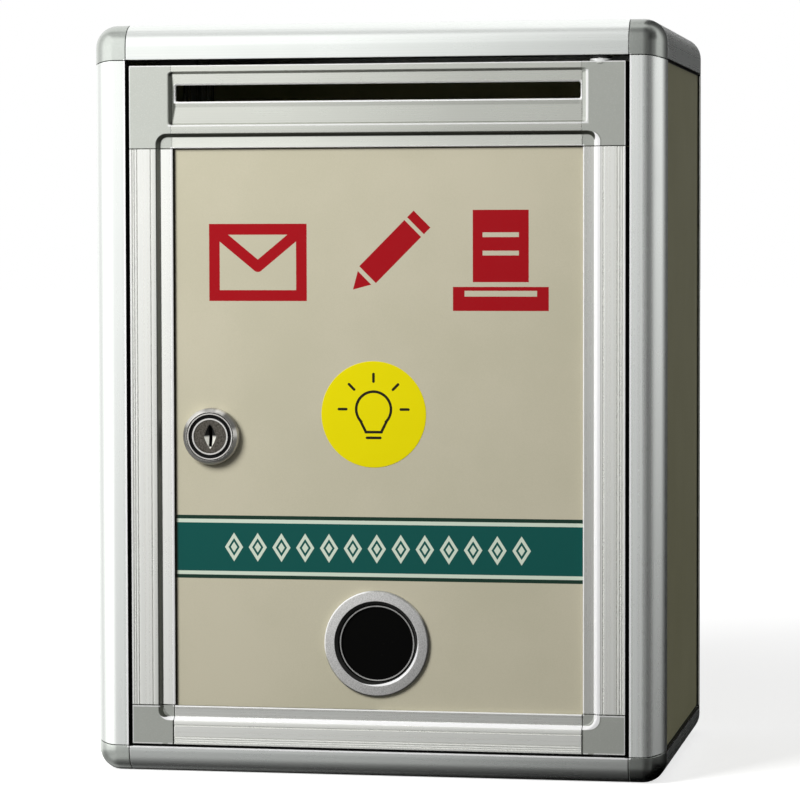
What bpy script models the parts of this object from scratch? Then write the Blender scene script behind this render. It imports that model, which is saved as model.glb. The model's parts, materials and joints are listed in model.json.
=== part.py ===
# Wall and desk suggestion box of aluminium edge profiles, plastic corner blocks and sheet panels.
# Metres, +Z up. The front faces -Y and the origin is on the floor, under the middle of the box.
import math

import bmesh
import bpy
from mathutils import Vector

# Fits
seam = 0.0003            # gap between two pieces that meet
overrun = 0.001          # how far a cutter or a joined piece reaches past a face

# Case
opening_width = 0.196
opening_height = 0.2668
case_depth = 0.150
side_leg = 0.0135        # width of the profiles beside the door
top_leg = 0.0137         # height of the profiles above the door
bottom_leg = 0.0104      # height of the profiles below the door
return_leg = 0.0110      # depth of the front and rear profiles
edge_radius = 0.0087
profile_wall = 0.0012
sheet = 0.0010           # thickness of every panel
groove_skin = 0.0008     # wall outside a panel's groove
groove_depth = 0.0030
spigot_length = 0.0070
screw_hole_radius = 0.00275
screw_hole_span = 0.140
screw_hole_drop = 0.045

# Door
side_gap = 0.0012
top_gap = 0.0023
bottom_gap = 0.0010
door_setback = 0.0005
door_depth = 0.0100
stile_width = 0.0166
bottom_rail_height = 0.0150
slot_rail_height = 0.0319
top_corner_width = 0.0166
band_width = 0.0058      # lower band beside the door panel, with its shoulder
band_drop = 0.0016
band_rise = 0.0003       # how far the band climbs again toward the panel
band_edge = 0.0003
shoulder_width = 0.0016
rib_width = 0.0004
rib_drop = 0.0003
rib_shares = (0.12, 0.2, 0.3, 0.8)
top_turn_radius = 0.0042 # where the shoulder turns the top corners
panel_front = 0.0030     # depth of the panel's groove behind the door's front
door_spigot_length = 0.0080

# Letter slot
slot_drop = 0.0076       # from the door's top
slot_height = 0.0063
slot_end_wall = 0.0014
slot_corner_radius = 0.0010
slot_chamfer = 0.0005
lip_height = 0.0024
lip_slope = 0.0008
recess_bottom = 0.0223
recess_depth = 0.0014
recess_slope = 0.0008
recess_end = 0.0011      # sloped end of the recess, in the corner pieces
recess_corner = 0.0015
slot_plate = 0.0018
top_flange = 0.0020
chamber_top = 0.0163

# Door pivots
pivot_inset = 0.0100     # from the door's right edge
pivot_setback = 0.0040   # from the door's front
pin_radius = 0.0015
pin_depth = 0.0080
pin_reach = 0.0030       # past the wall of the case profile
pin_chamfer = 0.0005
bush_wall = 0.0009
bush_reach = 0.0020
bush_flange = 0.0006
boss_radius = 0.0042
boss_height = 0.0010

# Lock
lock_inset = 0.0320      # from the door's left edge
lock_height = 0.1202     # above the door's bottom
lock_flange_radius = 0.0110
lock_proud = 0.0010      # how far its face stands out from the case
lock_rim_radius = 0.0106
lock_rim_drop = 0.0010
lock_side_drop = 0.0017
lock_crest_radius = 0.0094
lock_ridge_outer = 0.0090
lock_ridge_inner = 0.0085
lock_ridge_drop = 0.0002
lock_groove_depth = 0.0011
plug_radius = 0.0071
plug_sink = 0.0003
plug_rim = 0.0006
plug_dish = 0.0004
key_bowl_width = 0.0051
key_bowl_height = 0.0098
key_bowl_depth = 0.0014
key_bowl_bow = 1.2       # 1 gives straight sides, 2 an ellipse
key_bowl_floor_shares = (0.34, 0.60)
keyhole_width = 0.0013
keyhole_height = 0.0080
keyhole_depth = 0.0070
barrel_radius = 0.0092
barrel_reach = 0.0076    # behind the panel's groove
nut_radius = 0.0125
nut_depth = 0.0026
washer_radius = 0.0118
washer_depth = 0.0008
cam_thickness = 0.0020
cam_length = 0.0440
cam_width = 0.0120
cam_tip_width = 0.0090
cam_screw_head = 0.0045
cam_screw_slot = 0.0008
cam_screw_thickness = 0.0022
plug_tail = 0.0035

# Window
window_height = 0.0406   # above the door's bottom
window_radius = 0.0205
window_flange = 0.0015
window_throat = 0.0152
window_bevel = 0.0013
window_edge = 0.0005
window_ring_radius = 0.01475
window_ring_width = 0.0007
window_ring_depth = 0.0006
window_collar_wall = 0.0012
window_collar_reach = 0.0062
lens_sink = 0.0008
lens_thickness = 0.0020
retainer_width = 0.0030
retainer_depth = 0.0012
window_nut_width = 0.0032
window_nut_depth = 0.0028

# Door stops
stop_width = 0.0160
stop_height = 0.0120
stop_overlap = 0.0050    # how far a stop reaches behind the door
stop_depth = 0.0030
stop_inset = 0.0100      # from the opening's side
stop_round = 0.0010

# How finely round shapes are cut
corner_steps = 8
shoulder_steps = 6
turn_steps = 48
bolt_turn_steps = 24

# Sizes that follow from these
box_width = opening_width + 2 * side_leg
box_height = opening_height + top_leg + bottom_leg
groove_width = sheet + 2 * seam
bore_inset = groove_skin + groove_width + profile_wall
spigot_inset = bore_inset + seam
tab = groove_depth - seam
front_y = (lock_proud - case_depth) / 2
rear_y = front_y + case_depth
door_front_y = front_y + door_setback
door_left = -opening_width / 2 + side_gap
door_right = opening_width / 2 - side_gap
door_bottom = bottom_leg + bottom_gap
door_top = bottom_leg + opening_height - top_gap
panel_y = door_front_y + panel_front + seam
hinge_point = Vector((door_right - pivot_inset, door_front_y + pivot_setback, door_bottom))
lock_point = Vector((door_left + lock_inset, panel_y, door_bottom + lock_height))
window_point = Vector((0, panel_y, door_bottom + window_height))
slot_half_length = (door_right - door_left) / 2 - top_corner_width - seam - slot_end_wall


def make_material(name, colour, roughness, metallic):
    material = bpy.data.materials.new(name)
    material.use_nodes = True
    shader = material.node_tree.nodes["Principled BSDF"]
    shader.inputs["Base Color"].default_value = (*colour, 1)
    shader.inputs["Roughness"].default_value = roughness
    shader.inputs["Metallic"].default_value = metallic
    material.diffuse_color = (*colour, 1)
    return material


def clear_scene():
    for item in list(bpy.data.objects):
        bpy.data.objects.remove(item, do_unlink=True)


def add_piece(name, mesh_builder, material, origin, parent=None):
    # The shape is built in world coordinates and then hung on its own origin.
    bmesh.ops.translate(mesh_builder, verts=mesh_builder.verts, vec=-Vector(origin))
    bmesh.ops.recalc_face_normals(mesh_builder, faces=mesh_builder.faces)
    mesh = bpy.data.meshes.new(name)
    mesh_builder.to_mesh(mesh)
    mesh_builder.free()
    mesh.shade_smooth()
    mesh.set_sharp_from_angle(angle=math.radians(30))
    if material:
        mesh.materials.append(material)
    piece = bpy.data.objects.new(name, mesh)
    bpy.context.scene.collection.objects.link(piece)
    piece.location = Vector(origin) - (parent.location if parent else Vector())
    if parent and parent.parent:
        piece.location -= parent.parent.location
    piece.parent = parent
    return piece


def add_helper(name, mesh_builder, origin, parent=None):
    helper = add_piece(name, mesh_builder, None, origin, parent)
    helper.hide_render = True
    helper.display_type = "WIRE"
    return helper


def combine(piece, helper, operation):
    change = piece.modifiers.new(helper.name, "BOOLEAN")
    change.operation = operation
    change.solver = "EXACT"
    change.object = helper


def soften(piece, width, segments=2):
    edge = piece.modifiers.new("edge", "BEVEL")
    edge.width = width
    edge.segments = segments
    edge.limit_method = "ANGLE"
    edge.use_clamp_overlap = True


def extruded(loops, start, end, place):
    # A filled section with its holes, pushed along its length. place turns (u, v, along) into a point.
    shape = bmesh.new()
    edges = []
    for loop in loops:
        corners = [shape.verts.new((u, v, start)) for u, v in loop]
        edges += [shape.edges.new(pair) for pair in zip(corners, corners[1:] + corners[:1])]
    bmesh.ops.triangle_fill(shape, use_beauty=True, edges=edges)
    pushed = bmesh.ops.extrude_face_region(shape, geom=list(shape.faces))["geom"]
    far_end = [item for item in pushed if isinstance(item, bmesh.types.BMVert)]
    bmesh.ops.translate(shape, verts=far_end, vec=(0, 0, end - start))
    for vertex in shape.verts:
        vertex.co = place(*vertex.co)
    return shape


def turned(profile, centre, axis, steps, closed):
    # profile lists (radius, along the axis). A closed one is a ring with a bore.
    shape = bmesh.new()
    centre = Vector(centre)
    axis = Vector(axis)
    outward = Vector((1, 0, 0))
    points = [shape.verts.new(centre + outward * radius + axis * along) for radius, along in profile]
    pairs = list(zip(points, points[1:]))
    if closed:
        pairs.append((points[-1], points[0]))
    edges = [shape.edges.new(pair) for pair in pairs]
    bmesh.ops.spin(shape, geom=points + edges, cent=centre, axis=axis, angle=2 * math.pi,
                   steps=steps, use_merge=True, use_duplicate=False)
    bmesh.ops.remove_doubles(shape, verts=shape.verts, dist=seam / 1000)
    return shape


def lofted(rings):
    # Loops of equally many points, joined in turn and capped at both ends.
    shape = bmesh.new()
    loops = [[shape.verts.new(point) for point in ring] for ring in rings]
    for near, far in zip(loops, loops[1:]):
        for first, second in zip(range(len(near)), [*range(1, len(near)), 0]):
            shape.faces.new((near[first], near[second], far[second], far[first]))
    for cap in (loops[0], loops[-1]):
        shape.faces.new(cap)
    return shape


def add_block(shape, low, high):
    made = bmesh.ops.create_cube(shape, size=1)
    for vertex in made["verts"]:
        vertex.co = [b if part > 0 else a for part, a, b in zip(vertex.co, low, high)]
    return made["verts"]


def block(low, high):
    shape = bmesh.new()
    add_block(shape, low, high)
    return shape


def arc(centre_u, centre_v, radius, start, end, steps=corner_steps):
    turns = [math.radians(start + (end - start) * step / steps) for step in range(steps + 1)]
    return [(centre_u + radius * math.cos(turn), centre_v + radius * math.sin(turn)) for turn in turns]


def circle(centre_u, centre_v, radius, steps):
    return arc(centre_u, centre_v, radius, 0, 360, steps)[:-1]


def rounded_rectangle(low_u, high_u, low_v, high_v, radius):
    steps = corner_steps // 2
    return (arc(low_u + radius, low_v + radius, radius, 180, 270, steps)
            + arc(high_u - radius, low_v + radius, radius, 270, 360, steps)
            + arc(high_u - radius, high_v - radius, radius, 0, 90, steps)
            + arc(low_u + radius, high_v - radius, radius, 90, 180, steps))


def edge_section(leg_u, leg_v, groove_u, groove_v):
    # Section of a case profile, from its round outer corner at (0, 0). groove_u cuts the end of leg u.
    groove_end = groove_skin + groove_width
    outer = arc(edge_radius, edge_radius, edge_radius, 180, 270) + [(leg_u, 0)]
    if groove_u:
        outer += [(leg_u, groove_skin), (leg_u - groove_depth, groove_skin)]
        outer += [(leg_u - groove_depth, groove_end), (leg_u, groove_end)]
    outer += [(leg_u, leg_v)]
    if groove_v:
        outer += [(groove_end, leg_v), (groove_end, leg_v - groove_depth)]
        outer += [(groove_skin, leg_v - groove_depth), (groove_skin, leg_v)]
    outer += [(0, leg_v)]
    bore_radius = edge_radius - profile_wall
    last_u = leg_u - profile_wall
    last_v = leg_v - profile_wall
    neck_u = last_u - groove_depth
    neck_v = last_v - groove_depth
    first_turn = 180
    last_turn = 270
    before = []
    after = []
    if groove_v and neck_v < edge_radius:
        first_turn += math.degrees(math.asin((edge_radius - neck_v) / bore_radius))
    elif groove_v:
        before = [(profile_wall, neck_v)]
    else:
        before = [(profile_wall, last_v)]
    if groove_u and neck_u < edge_radius:
        last_turn -= math.degrees(math.asin((edge_radius - neck_u) / bore_radius))
    elif groove_u:
        after = [(neck_u, profile_wall)]
    else:
        after = [(last_u, profile_wall)]
    bore = before + arc(edge_radius, edge_radius, bore_radius, first_turn, last_turn) + after
    if groove_u:
        step_u = arc(edge_radius, edge_radius, bore_radius, last_turn, last_turn, 1)[0][0]
        bore += [(max(neck_u, step_u), bore_inset), (last_u, bore_inset)]
    bore += [(last_u, last_v)]
    if groove_v:
        step_v = arc(edge_radius, edge_radius, bore_radius, first_turn, first_turn, 1)[0][1]
        bore += [(bore_inset, last_v), (bore_inset, max(neck_v, step_v))]
    return [outer, bore]


def sheet_outline(low_a, high_a, low_b, high_b):
    # A panel whose four tabs enter the grooves and whose corners clear the corner blocks.
    in_a, in_b, out_a, out_b = low_a + seam, low_b + seam, high_a - seam, high_b - seam
    return [(low_a - tab, in_b), (in_a, in_b), (in_a, low_b - tab), (out_a, low_b - tab),
            (out_a, in_b), (high_a + tab, in_b), (high_a + tab, out_b), (out_a, out_b),
            (out_a, high_b + tab), (in_a, high_b + tab), (in_a, out_b), (low_a - tab, out_b)]


def case_x(side, inset):
    return side * (box_width / 2 - inset)


def case_y(end, inset):
    return front_y + inset if end < 0 else rear_y - inset


def case_z(level, inset):
    return inset if level < 0 else box_height - inset


def leg_z(level):
    return bottom_leg if level < 0 else top_leg


def side_name(side):
    return "left" if side < 0 else "right"


def end_name(end):
    return "front" if end < 0 else "rear"


def level_name(level):
    return "bottom" if level < 0 else "top"


def make_posts(aluminium):
    for end in (-1, 1):
        for side in (-1, 1):
            section = edge_section(side_leg, return_leg, end > 0, True)
            shape = extruded(section, bottom_leg + seam, box_height - top_leg - seam,
                             lambda u, v, w: (case_x(side, u), case_y(end, v), w))
            origin = (case_x(side, 0), case_y(end, 0), bottom_leg)
            add_piece(f"{end_name(end)}_post_{side_name(side)}", shape, aluminium, origin)


def make_cross_rails(aluminium):
    reach = box_width / 2 - side_leg - seam
    rails = {}
    for end in (-1, 1):
        for level in (-1, 1):
            section = edge_section(return_leg, leg_z(level), True, end > 0)
            shape = extruded(section, -reach, reach,
                             lambda u, v, w: (w, case_y(end, u), case_z(level, v)))
            name = f"{end_name(end)}_rail_{level_name(level)}"
            rails[end, level] = add_piece(name, shape, aluminium, (0, case_y(end, 0), case_z(level, 0)))
    return rails


def make_side_rails(aluminium):
    for side in (-1, 1):
        for level in (-1, 1):
            section = edge_section(side_leg, leg_z(level), True, True)
            shape = extruded(section, front_y + return_leg + seam, rear_y - return_leg - seam,
                             lambda u, v, w: (case_x(side, u), w, case_z(level, v)))
            origin = (case_x(side, 0), (front_y + rear_y) / 2, case_z(level, 0))
            add_piece(f"side_rail_{level_name(level)}_{side_name(side)}", shape, aluminium, origin)


def case_spigots(legs):
    # Three plugs on the inner faces of a corner block, one for each profile that meets there.
    shape = bmesh.new()
    for along in range(3):
        low = [spigot_inset] * 3
        high = [leg - profile_wall - seam for leg in legs]
        low[along] = legs[along] - overrun
        high[along] = legs[along] + spigot_length
        add_block(shape, low, high)
    return shape


def make_corner_blocks(plastic):
    for end in (-1, 1):
        for side in (-1, 1):
            for level in (-1, 1):
                legs = (side_leg, return_leg, leg_z(level))
                shape = block((0, 0, 0), legs)
                rounded = [edge for edge in shape.edges
                           if sum(max(a, b) == 0 for a, b in zip(*(v.co for v in edge.verts))) == 2]
                bmesh.ops.bevel(shape, geom=rounded, offset=edge_radius, segments=corner_steps,
                                profile=0.5, affect="EDGES")
                plugs = case_spigots(legs)
                for corner in list(shape.verts) + list(plugs.verts):
                    u, v, w = corner.co
                    corner.co = (case_x(side, u), case_y(end, v), case_z(level, w))
                bmesh.ops.recalc_face_normals(plugs, faces=plugs.faces)
                name = f"corner_{end_name(end)}_{level_name(level)}_{side_name(side)}"
                origin = (case_x(side, 0), case_y(end, 0), case_z(level, 0))
                corner_block = add_piece(name, shape, plastic, origin)
                combine(corner_block, add_helper(f"{name}_spigots", plugs, origin), "UNION")


def make_case_panels(painted):
    inner = groove_skin + seam
    low_x, high_x = case_x(-1, side_leg), case_x(1, side_leg)
    low_y, high_y = case_y(-1, return_leg), case_y(1, return_leg)
    low_z, high_z = case_z(-1, bottom_leg), case_z(1, top_leg)
    for side in (-1, 1):
        shape = extruded([sheet_outline(low_y, high_y, low_z, high_z)], inner, inner + sheet,
                         lambda u, v, w: (case_x(side, w), u, v))
        origin = (case_x(side, inner), (low_y + high_y) / 2, (low_z + high_z) / 2)
        add_piece(f"panel_{side_name(side)}", shape, painted, origin)
    for level in (-1, 1):
        shape = extruded([sheet_outline(low_x, high_x, low_y, high_y)], inner, inner + sheet,
                         lambda u, v, w: (u, v, case_z(level, w)))
        origin = (0, (low_y + high_y) / 2, case_z(level, inner))
        add_piece(f"panel_{level_name(level)}", shape, painted, origin)
    hole_z = high_z - screw_hole_drop
    holes = [circle(share * screw_hole_span, hole_z, screw_hole_radius, bolt_turn_steps)
             for share in (-0.5, 0.5)]
    shape = extruded([sheet_outline(low_x, high_x, low_z, high_z)] + holes, inner, inner + sheet,
                     lambda u, v, w: (u, case_y(1, w), v))
    add_piece("panel_back", shape, painted, (0, case_y(1, inner), (low_z + high_z) / 2))


def make_pivot_bushes(rails, plastic):
    # Flanged bushes in the front rails, above and below the door's hinge corner.
    bore = pin_radius + seam
    outer = bore + bush_wall
    for level in (-1, 1):
        face_z = case_z(level, leg_z(level))
        away = Vector((0, 0, level))
        centre = (hinge_point.x, hinge_point.y, face_z)
        inside = profile_wall + bush_reach
        profile = [(bore, inside), (outer, inside), (outer, -seam), (boss_radius, -seam),
                   (boss_radius, -seam - bush_flange), (bore, -seam - bush_flange)]
        add_piece(f"pivot_bush_{level_name(level)}", turned(profile, centre, away, bolt_turn_steps, True),
                  plastic, centre)
        cut = [(0, -overrun), (outer + seam, -overrun), (outer + seam, profile_wall + overrun),
               (0, profile_wall + overrun)]
        drill = add_helper(f"pivot_drill_{level_name(level)}",
                           turned(cut, centre, away, bolt_turn_steps, False), centre)
        combine(rails[-1, level], drill, "DIFFERENCE")


def make_door_stops(plastic):
    low_x = -opening_width / 2 + stop_inset
    low_y = front_y + return_leg + seam
    for level in (-1, 1):
        edge_z = case_z(level, leg_z(level))
        ends = sorted((edge_z - level * stop_overlap, edge_z + level * (stop_height - stop_overlap)))
        shape = block((low_x, low_y, ends[0]), (low_x + stop_width, low_y + stop_depth, ends[1]))
        stop = add_piece(f"door_stop_{level_name(level)}", shape, plastic, (low_x, low_y, edge_z))
        soften(stop, stop_round)


def ribbed_face(length):
    # Fine ribs are V cuts in a front face that runs from u = 0 to u = length.
    points = [(0, 0)]
    for share in rib_shares:
        middle = length * share
        points += [(middle - rib_width / 2, 0), (middle, rib_drop), (middle + rib_width / 2, 0)]
    return points


def shoulder():
    # A smooth S, as (distance from the front face's edge, depth), down to the lower band.
    turns = [step / shoulder_steps for step in range(shoulder_steps + 1)]
    return [(shoulder_width * turn, band_drop * (1 - math.cos(math.pi * turn)) / 2) for turn in turns]


def panel_edge(width):
    # The shoulder, the lower band and the panel's groove, at the inner end of a door profile.
    face = width - band_width
    groove_back = panel_front + groove_width
    rim = band_drop - band_rise
    points = [(face + across, depth) for across, depth in shoulder()]
    points += [(width - band_edge, rim), (width, rim + band_edge)]
    points += [(width, panel_front), (width - groove_depth, panel_front)]
    return points + [(width - groove_depth, groove_back), (width, groove_back), (width, door_depth)]


def door_bore(first, width):
    # Hollow of a door profile, which also takes the corner pieces' spigots.
    near = band_drop + profile_wall
    far = door_depth - profile_wall
    last = width - groove_depth - profile_wall
    return [(first, near), (last, near), (last, far), (first, far)]


def door_rail_section(width):
    outer = ribbed_face(width - band_width) + panel_edge(width) + [(0, door_depth)]
    return [outer, door_bore(profile_wall, width)]


def slot_rail_section():
    # Down from the door's top: a lip, the recessed slot plate, and a hollow bar above the panel.
    plate_back = recess_depth + slot_plate
    outer = [(0, 0), (lip_height, 0), (lip_height + lip_slope, recess_depth),
             (recess_bottom, recess_depth), (recess_bottom + recess_slope, 0)]
    outer += panel_edge(slot_rail_height)
    outer += [(chamber_top, door_depth), (chamber_top, plate_back), (top_flange, plate_back),
              (top_flange, door_depth), (0, door_depth)]
    return [outer, door_bore(chamber_top + profile_wall, slot_rail_height)]


def door_x(side, inset):
    return door_left + inset if side < 0 else door_right - inset


def make_door_profiles(aluminium, hinge):
    depth = door_front_y
    low_z = door_bottom + bottom_rail_height + seam
    high_z = door_top - slot_rail_height - seam
    for side in (-1, 1):
        shape = extruded(door_rail_section(stile_width), low_z, high_z,
                         lambda u, v, w: (door_x(side, u), depth + v, w))
        add_piece(f"door_stile_{side_name(side)}", shape, aluminium, (door_x(side, 0), depth, low_z), hinge)
    shape = extruded(door_rail_section(bottom_rail_height),
                     door_left + stile_width + seam, door_right - stile_width - seam,
                     lambda u, v, w: (w, depth + v, door_bottom + u))
    add_piece("door_rail_bottom", shape, aluminium, (0, depth, door_bottom), hinge)
    shape = extruded(slot_rail_section(),
                     door_left + top_corner_width + seam, door_right - top_corner_width - seam,
                     lambda u, v, w: (w, depth + v, door_top - u))
    slot_rail = add_piece("door_slot_rail", shape, aluminium, (0, depth, door_top), hinge)
    combine(slot_rail, add_helper("slot_cutter", slot_cutter(), (0, depth, door_top), hinge), "DIFFERENCE")


def slot_cutter():
    # The letter slot, flared at the plate's face for its chamfer.
    slot_top = door_top - slot_drop
    face = door_front_y + recess_depth
    flare = slot_chamfer + overrun
    levels = [(flare, face - overrun), (0, face + slot_chamfer), (0, face + slot_plate + overrun)]
    rings = []
    for grow, depth in levels:
        ring = rounded_rectangle(-slot_half_length - grow, slot_half_length + grow,
                                 slot_top - slot_height - grow, slot_top + grow, slot_corner_radius)
        rings.append([(x, depth, z) for x, z in ring])
    return lofted(rings)


def spigot(section_u, section_v, start, end, place):
    # A plug with the door profile's bore less a seam all round.
    low_u, high_u = section_u
    low_v, high_v = section_v
    corners = [(low_u + seam, low_v + seam), (high_u - seam, low_v + seam),
               (high_u - seam, high_v - seam), (low_u + seam, high_v - seam)]
    return extruded([corners], start, end, place)


def make_door_corners(plastic, hinge):
    depth = door_front_y
    bore_v = (band_drop + profile_wall, door_depth - profile_wall)
    stile_bore = (profile_wall, stile_width - groove_depth - profile_wall)
    rail_bore = (profile_wall, bottom_rail_height - groove_depth - profile_wall)
    slot_bore = (chamber_top + profile_wall, slot_rail_height - groove_depth - profile_wall)
    sizes = {-1: (stile_width, bottom_rail_height, rail_bore),
             1: (top_corner_width, slot_rail_height, slot_bore)}
    for level in (-1, 1):
        width, height, cross_bore = sizes[level]
        edge_z = door_bottom if level < 0 else door_top
        for side in (-1, 1):
            name = f"door_corner_{level_name(level)}_{side_name(side)}"
            origin = (door_x(side, 0), depth, edge_z)
            ends_x = sorted((door_x(side, 0), door_x(side, width)))
            ends_z = sorted((edge_z, edge_z - level * height))
            shape = block((ends_x[0], depth, ends_z[0]), (ends_x[1], depth + door_depth, ends_z[1]))
            piece = add_piece(name, shape, plastic, origin, hinge)
            upright = spigot(stile_bore, bore_v, height - overrun, height + door_spigot_length,
                             lambda u, v, w: (door_x(side, u), depth + v, edge_z - level * w))
            combine(piece, add_helper(f"{name}_stile_spigot", upright, origin, hinge), "UNION")
            cross = spigot(cross_bore, bore_v, width - overrun, width + door_spigot_length,
                           lambda u, v, w: (door_x(side, w), depth + v, edge_z - level * u))
            combine(piece, add_helper(f"{name}_rail_spigot", cross, origin, hinge), "UNION")
            add_band_turn(piece, name, side, level, origin, hinge)
            if level > 0:
                add_recess_end(piece, name, side, origin, hinge)
            if side > 0:
                add_pivot_seat(piece, name, level, edge_z, hinge)


def add_band_turn(piece, name, side, level, origin, hinge):
    # The shoulder and the lower band turn the panel's corner on a rounded path.
    radius = top_turn_radius if level > 0 else band_width
    height = slot_rail_height if level > 0 else bottom_rail_height
    edge_z = door_top if level > 0 else door_bottom
    far = band_width + 2 * overrun
    rings = []
    for across, depth in [(0, -overrun)] + shoulder():
        ring = arc(radius, radius, radius - across, 180, 270)
        ring += [(far, across), (far, far), (across, far)]
        rings.append([(door_x(side, stile_width - band_width + a), door_front_y + depth,
                       edge_z - level * (height - band_width + b)) for a, b in ring])
    combine(piece, add_helper(f"{name}_band", lofted(rings), origin, hinge), "DIFFERENCE")


def add_recess_end(piece, name, side, origin, hinge):
    # The letter slot's recess ends in the corner pieces, on a slope with rounded corners.
    radius = recess_corner
    steps = corner_steps // 2
    open_end = -radius - overrun
    rings = []
    for slope_share, depth in [(1, -overrun), (1, 0), (0, recess_depth)]:
        end = recess_end * slope_share
        top = lip_height + lip_slope * (1 - slope_share)
        bottom = recess_bottom + recess_slope * slope_share
        ring = [(open_end, top)]
        ring += arc(end - radius, top + radius, radius, 270, 360, steps)
        ring += arc(end - radius, bottom - radius, radius, 0, 90, steps) + [(open_end, bottom)]
        rings.append([(door_x(side, top_corner_width - a), door_front_y + depth, door_top - b)
                      for a, b in ring])
    combine(piece, add_helper(f"{name}_recess", lofted(rings), origin, hinge), "DIFFERENCE")


def add_pivot_seat(piece, name, level, edge_z, hinge):
    # A boss stands on the top corner, where the gap is wider. Both corners are drilled for a pin.
    away = Vector((0, 0, level))
    centre = Vector((hinge_point.x, hinge_point.y, edge_z))
    if level > 0:
        profile = [(0, -overrun), (boss_radius, -overrun), (boss_radius, boss_height), (0, boss_height)]
        boss = turned(profile, centre, away, bolt_turn_steps, False)
        combine(piece, add_helper(f"{name}_boss", boss, centre, hinge), "UNION")
    hole = pin_radius + seam
    profile = [(0, -pin_depth - seam), (hole, -pin_depth - seam), (hole, boss_height + overrun),
               (0, boss_height + overrun)]
    drill = turned(profile, centre, away, bolt_turn_steps, False)
    combine(piece, add_helper(f"{name}_drill", drill, centre, hinge), "DIFFERENCE")


def make_pivot_pins(steel, hinge):
    gaps = {-1: bottom_gap, 1: top_gap}
    for level in (-1, 1):
        edge_z = door_bottom if level < 0 else door_top
        tip = gaps[level] + profile_wall + pin_reach
        centre = (hinge_point.x, hinge_point.y, edge_z)
        profile = [(0, -pin_depth), (pin_radius, -pin_depth), (pin_radius, tip - pin_chamfer),
                   (pin_radius - pin_chamfer, tip), (0, tip)]
        add_piece(f"pivot_pin_{level_name(level)}",
                  turned(profile, centre, (0, 0, level), bolt_turn_steps, False), steel, centre, hinge)


def make_door_panel(painted, hinge):
    lock_hole = circle(lock_point.x, lock_point.z, barrel_radius + seam, turn_steps)
    window_hole = circle(window_point.x, window_point.z, window_throat + window_collar_wall + seam,
                         turn_steps)
    outline = sheet_outline(door_left + stile_width, door_right - stile_width,
                            door_bottom + bottom_rail_height, door_top - slot_rail_height)
    shape = extruded([outline, lock_hole, window_hole], panel_y, panel_y + sheet,
                     lambda u, v, w: (u, w, v))
    add_piece("door_panel", shape, painted, (0, panel_y, (door_bottom + door_top) / 2), hinge)


def make_window(satin, glass, plastic, hinge):
    # Along the axis, zero is the panel's front and depth grows into the box.
    away = (0, 1, 0)
    collar = window_throat + window_collar_wall
    face = -seam - window_flange
    bezel = [(window_throat, face + window_bevel), (window_throat + window_bevel, face),
             (window_radius - window_edge, face), (window_radius, face + window_edge), (window_radius, -seam),
             (collar, -seam), (collar, window_collar_reach), (window_throat, window_collar_reach)]
    lens_radius = window_throat - seam
    lens = [(0, lens_sink), (lens_radius, lens_sink), (lens_radius, lens_sink + lens_thickness),
            (0, lens_sink + lens_thickness)]
    ring_inner = window_ring_radius - window_ring_width
    ring_back = lens_sink - seam
    trim = [(ring_inner, ring_back - window_ring_depth), (window_ring_radius, ring_back - window_ring_depth),
            (window_ring_radius, ring_back), (ring_inner, ring_back)]
    ring_front = lens_sink + lens_thickness + seam
    retainer = [(lens_radius - retainer_width, ring_front), (lens_radius, ring_front),
                (lens_radius, ring_front + retainer_depth),
                (lens_radius - retainer_width, ring_front + retainer_depth)]
    nut_front = sheet + seam
    nut_bore = collar + seam
    nut = [(nut_bore, nut_front), (nut_bore + window_nut_width, nut_front),
           (nut_bore + window_nut_width, nut_front + window_nut_depth),
           (nut_bore, nut_front + window_nut_depth)]
    for name, profile, material, closed in (("window_bezel", bezel, satin, True),
                                            ("window_lens", lens, glass, False),
                                            ("window_trim_ring", trim, satin, True),
                                            ("window_retainer", retainer, plastic, True),
                                            ("window_nut", nut, plastic, True)):
        shape = turned(profile, window_point, away, turn_steps, closed)
        add_piece(name, shape, material, window_point, hinge)


def make_lock_housing(chrome, steel, hinge):
    away = (0, 1, 0)
    bore = plug_radius + seam
    face = front_y - lock_proud - panel_y
    back = barrel_reach
    floor = face + lock_groove_depth
    profile = [(bore, floor), (lock_ridge_inner, floor), (lock_ridge_inner, face + lock_ridge_drop),
               (lock_ridge_outer, face + lock_ridge_drop), (lock_ridge_outer, face + lock_rim_drop),
               (lock_crest_radius, face), (lock_rim_radius, face + lock_rim_drop),
               (lock_flange_radius, face + lock_side_drop), (lock_flange_radius, -seam),
               (barrel_radius, -seam), (barrel_radius, back), (bore, back)]
    add_piece("lock_housing", turned(profile, lock_point, away, turn_steps, True), chrome, lock_point, hinge)
    washer_front = sheet + seam
    inner = barrel_radius + seam
    washer = [(inner, washer_front), (washer_radius, washer_front),
              (washer_radius, washer_front + washer_depth), (inner, washer_front + washer_depth)]
    add_piece("lock_washer", turned(washer, lock_point, away, turn_steps, True), steel, lock_point, hinge)
    nut_front = washer_front + washer_depth + seam
    hexagon = circle(lock_point.x, lock_point.z, nut_radius, 6)
    shape = extruded([hexagon, circle(lock_point.x, lock_point.z, inner, turn_steps)],
                     lock_point.y + nut_front, lock_point.y + nut_front + nut_depth,
                     lambda u, v, w: (u, w, v))
    add_piece("lock_nut", shape, steel, lock_point, hinge)


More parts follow.
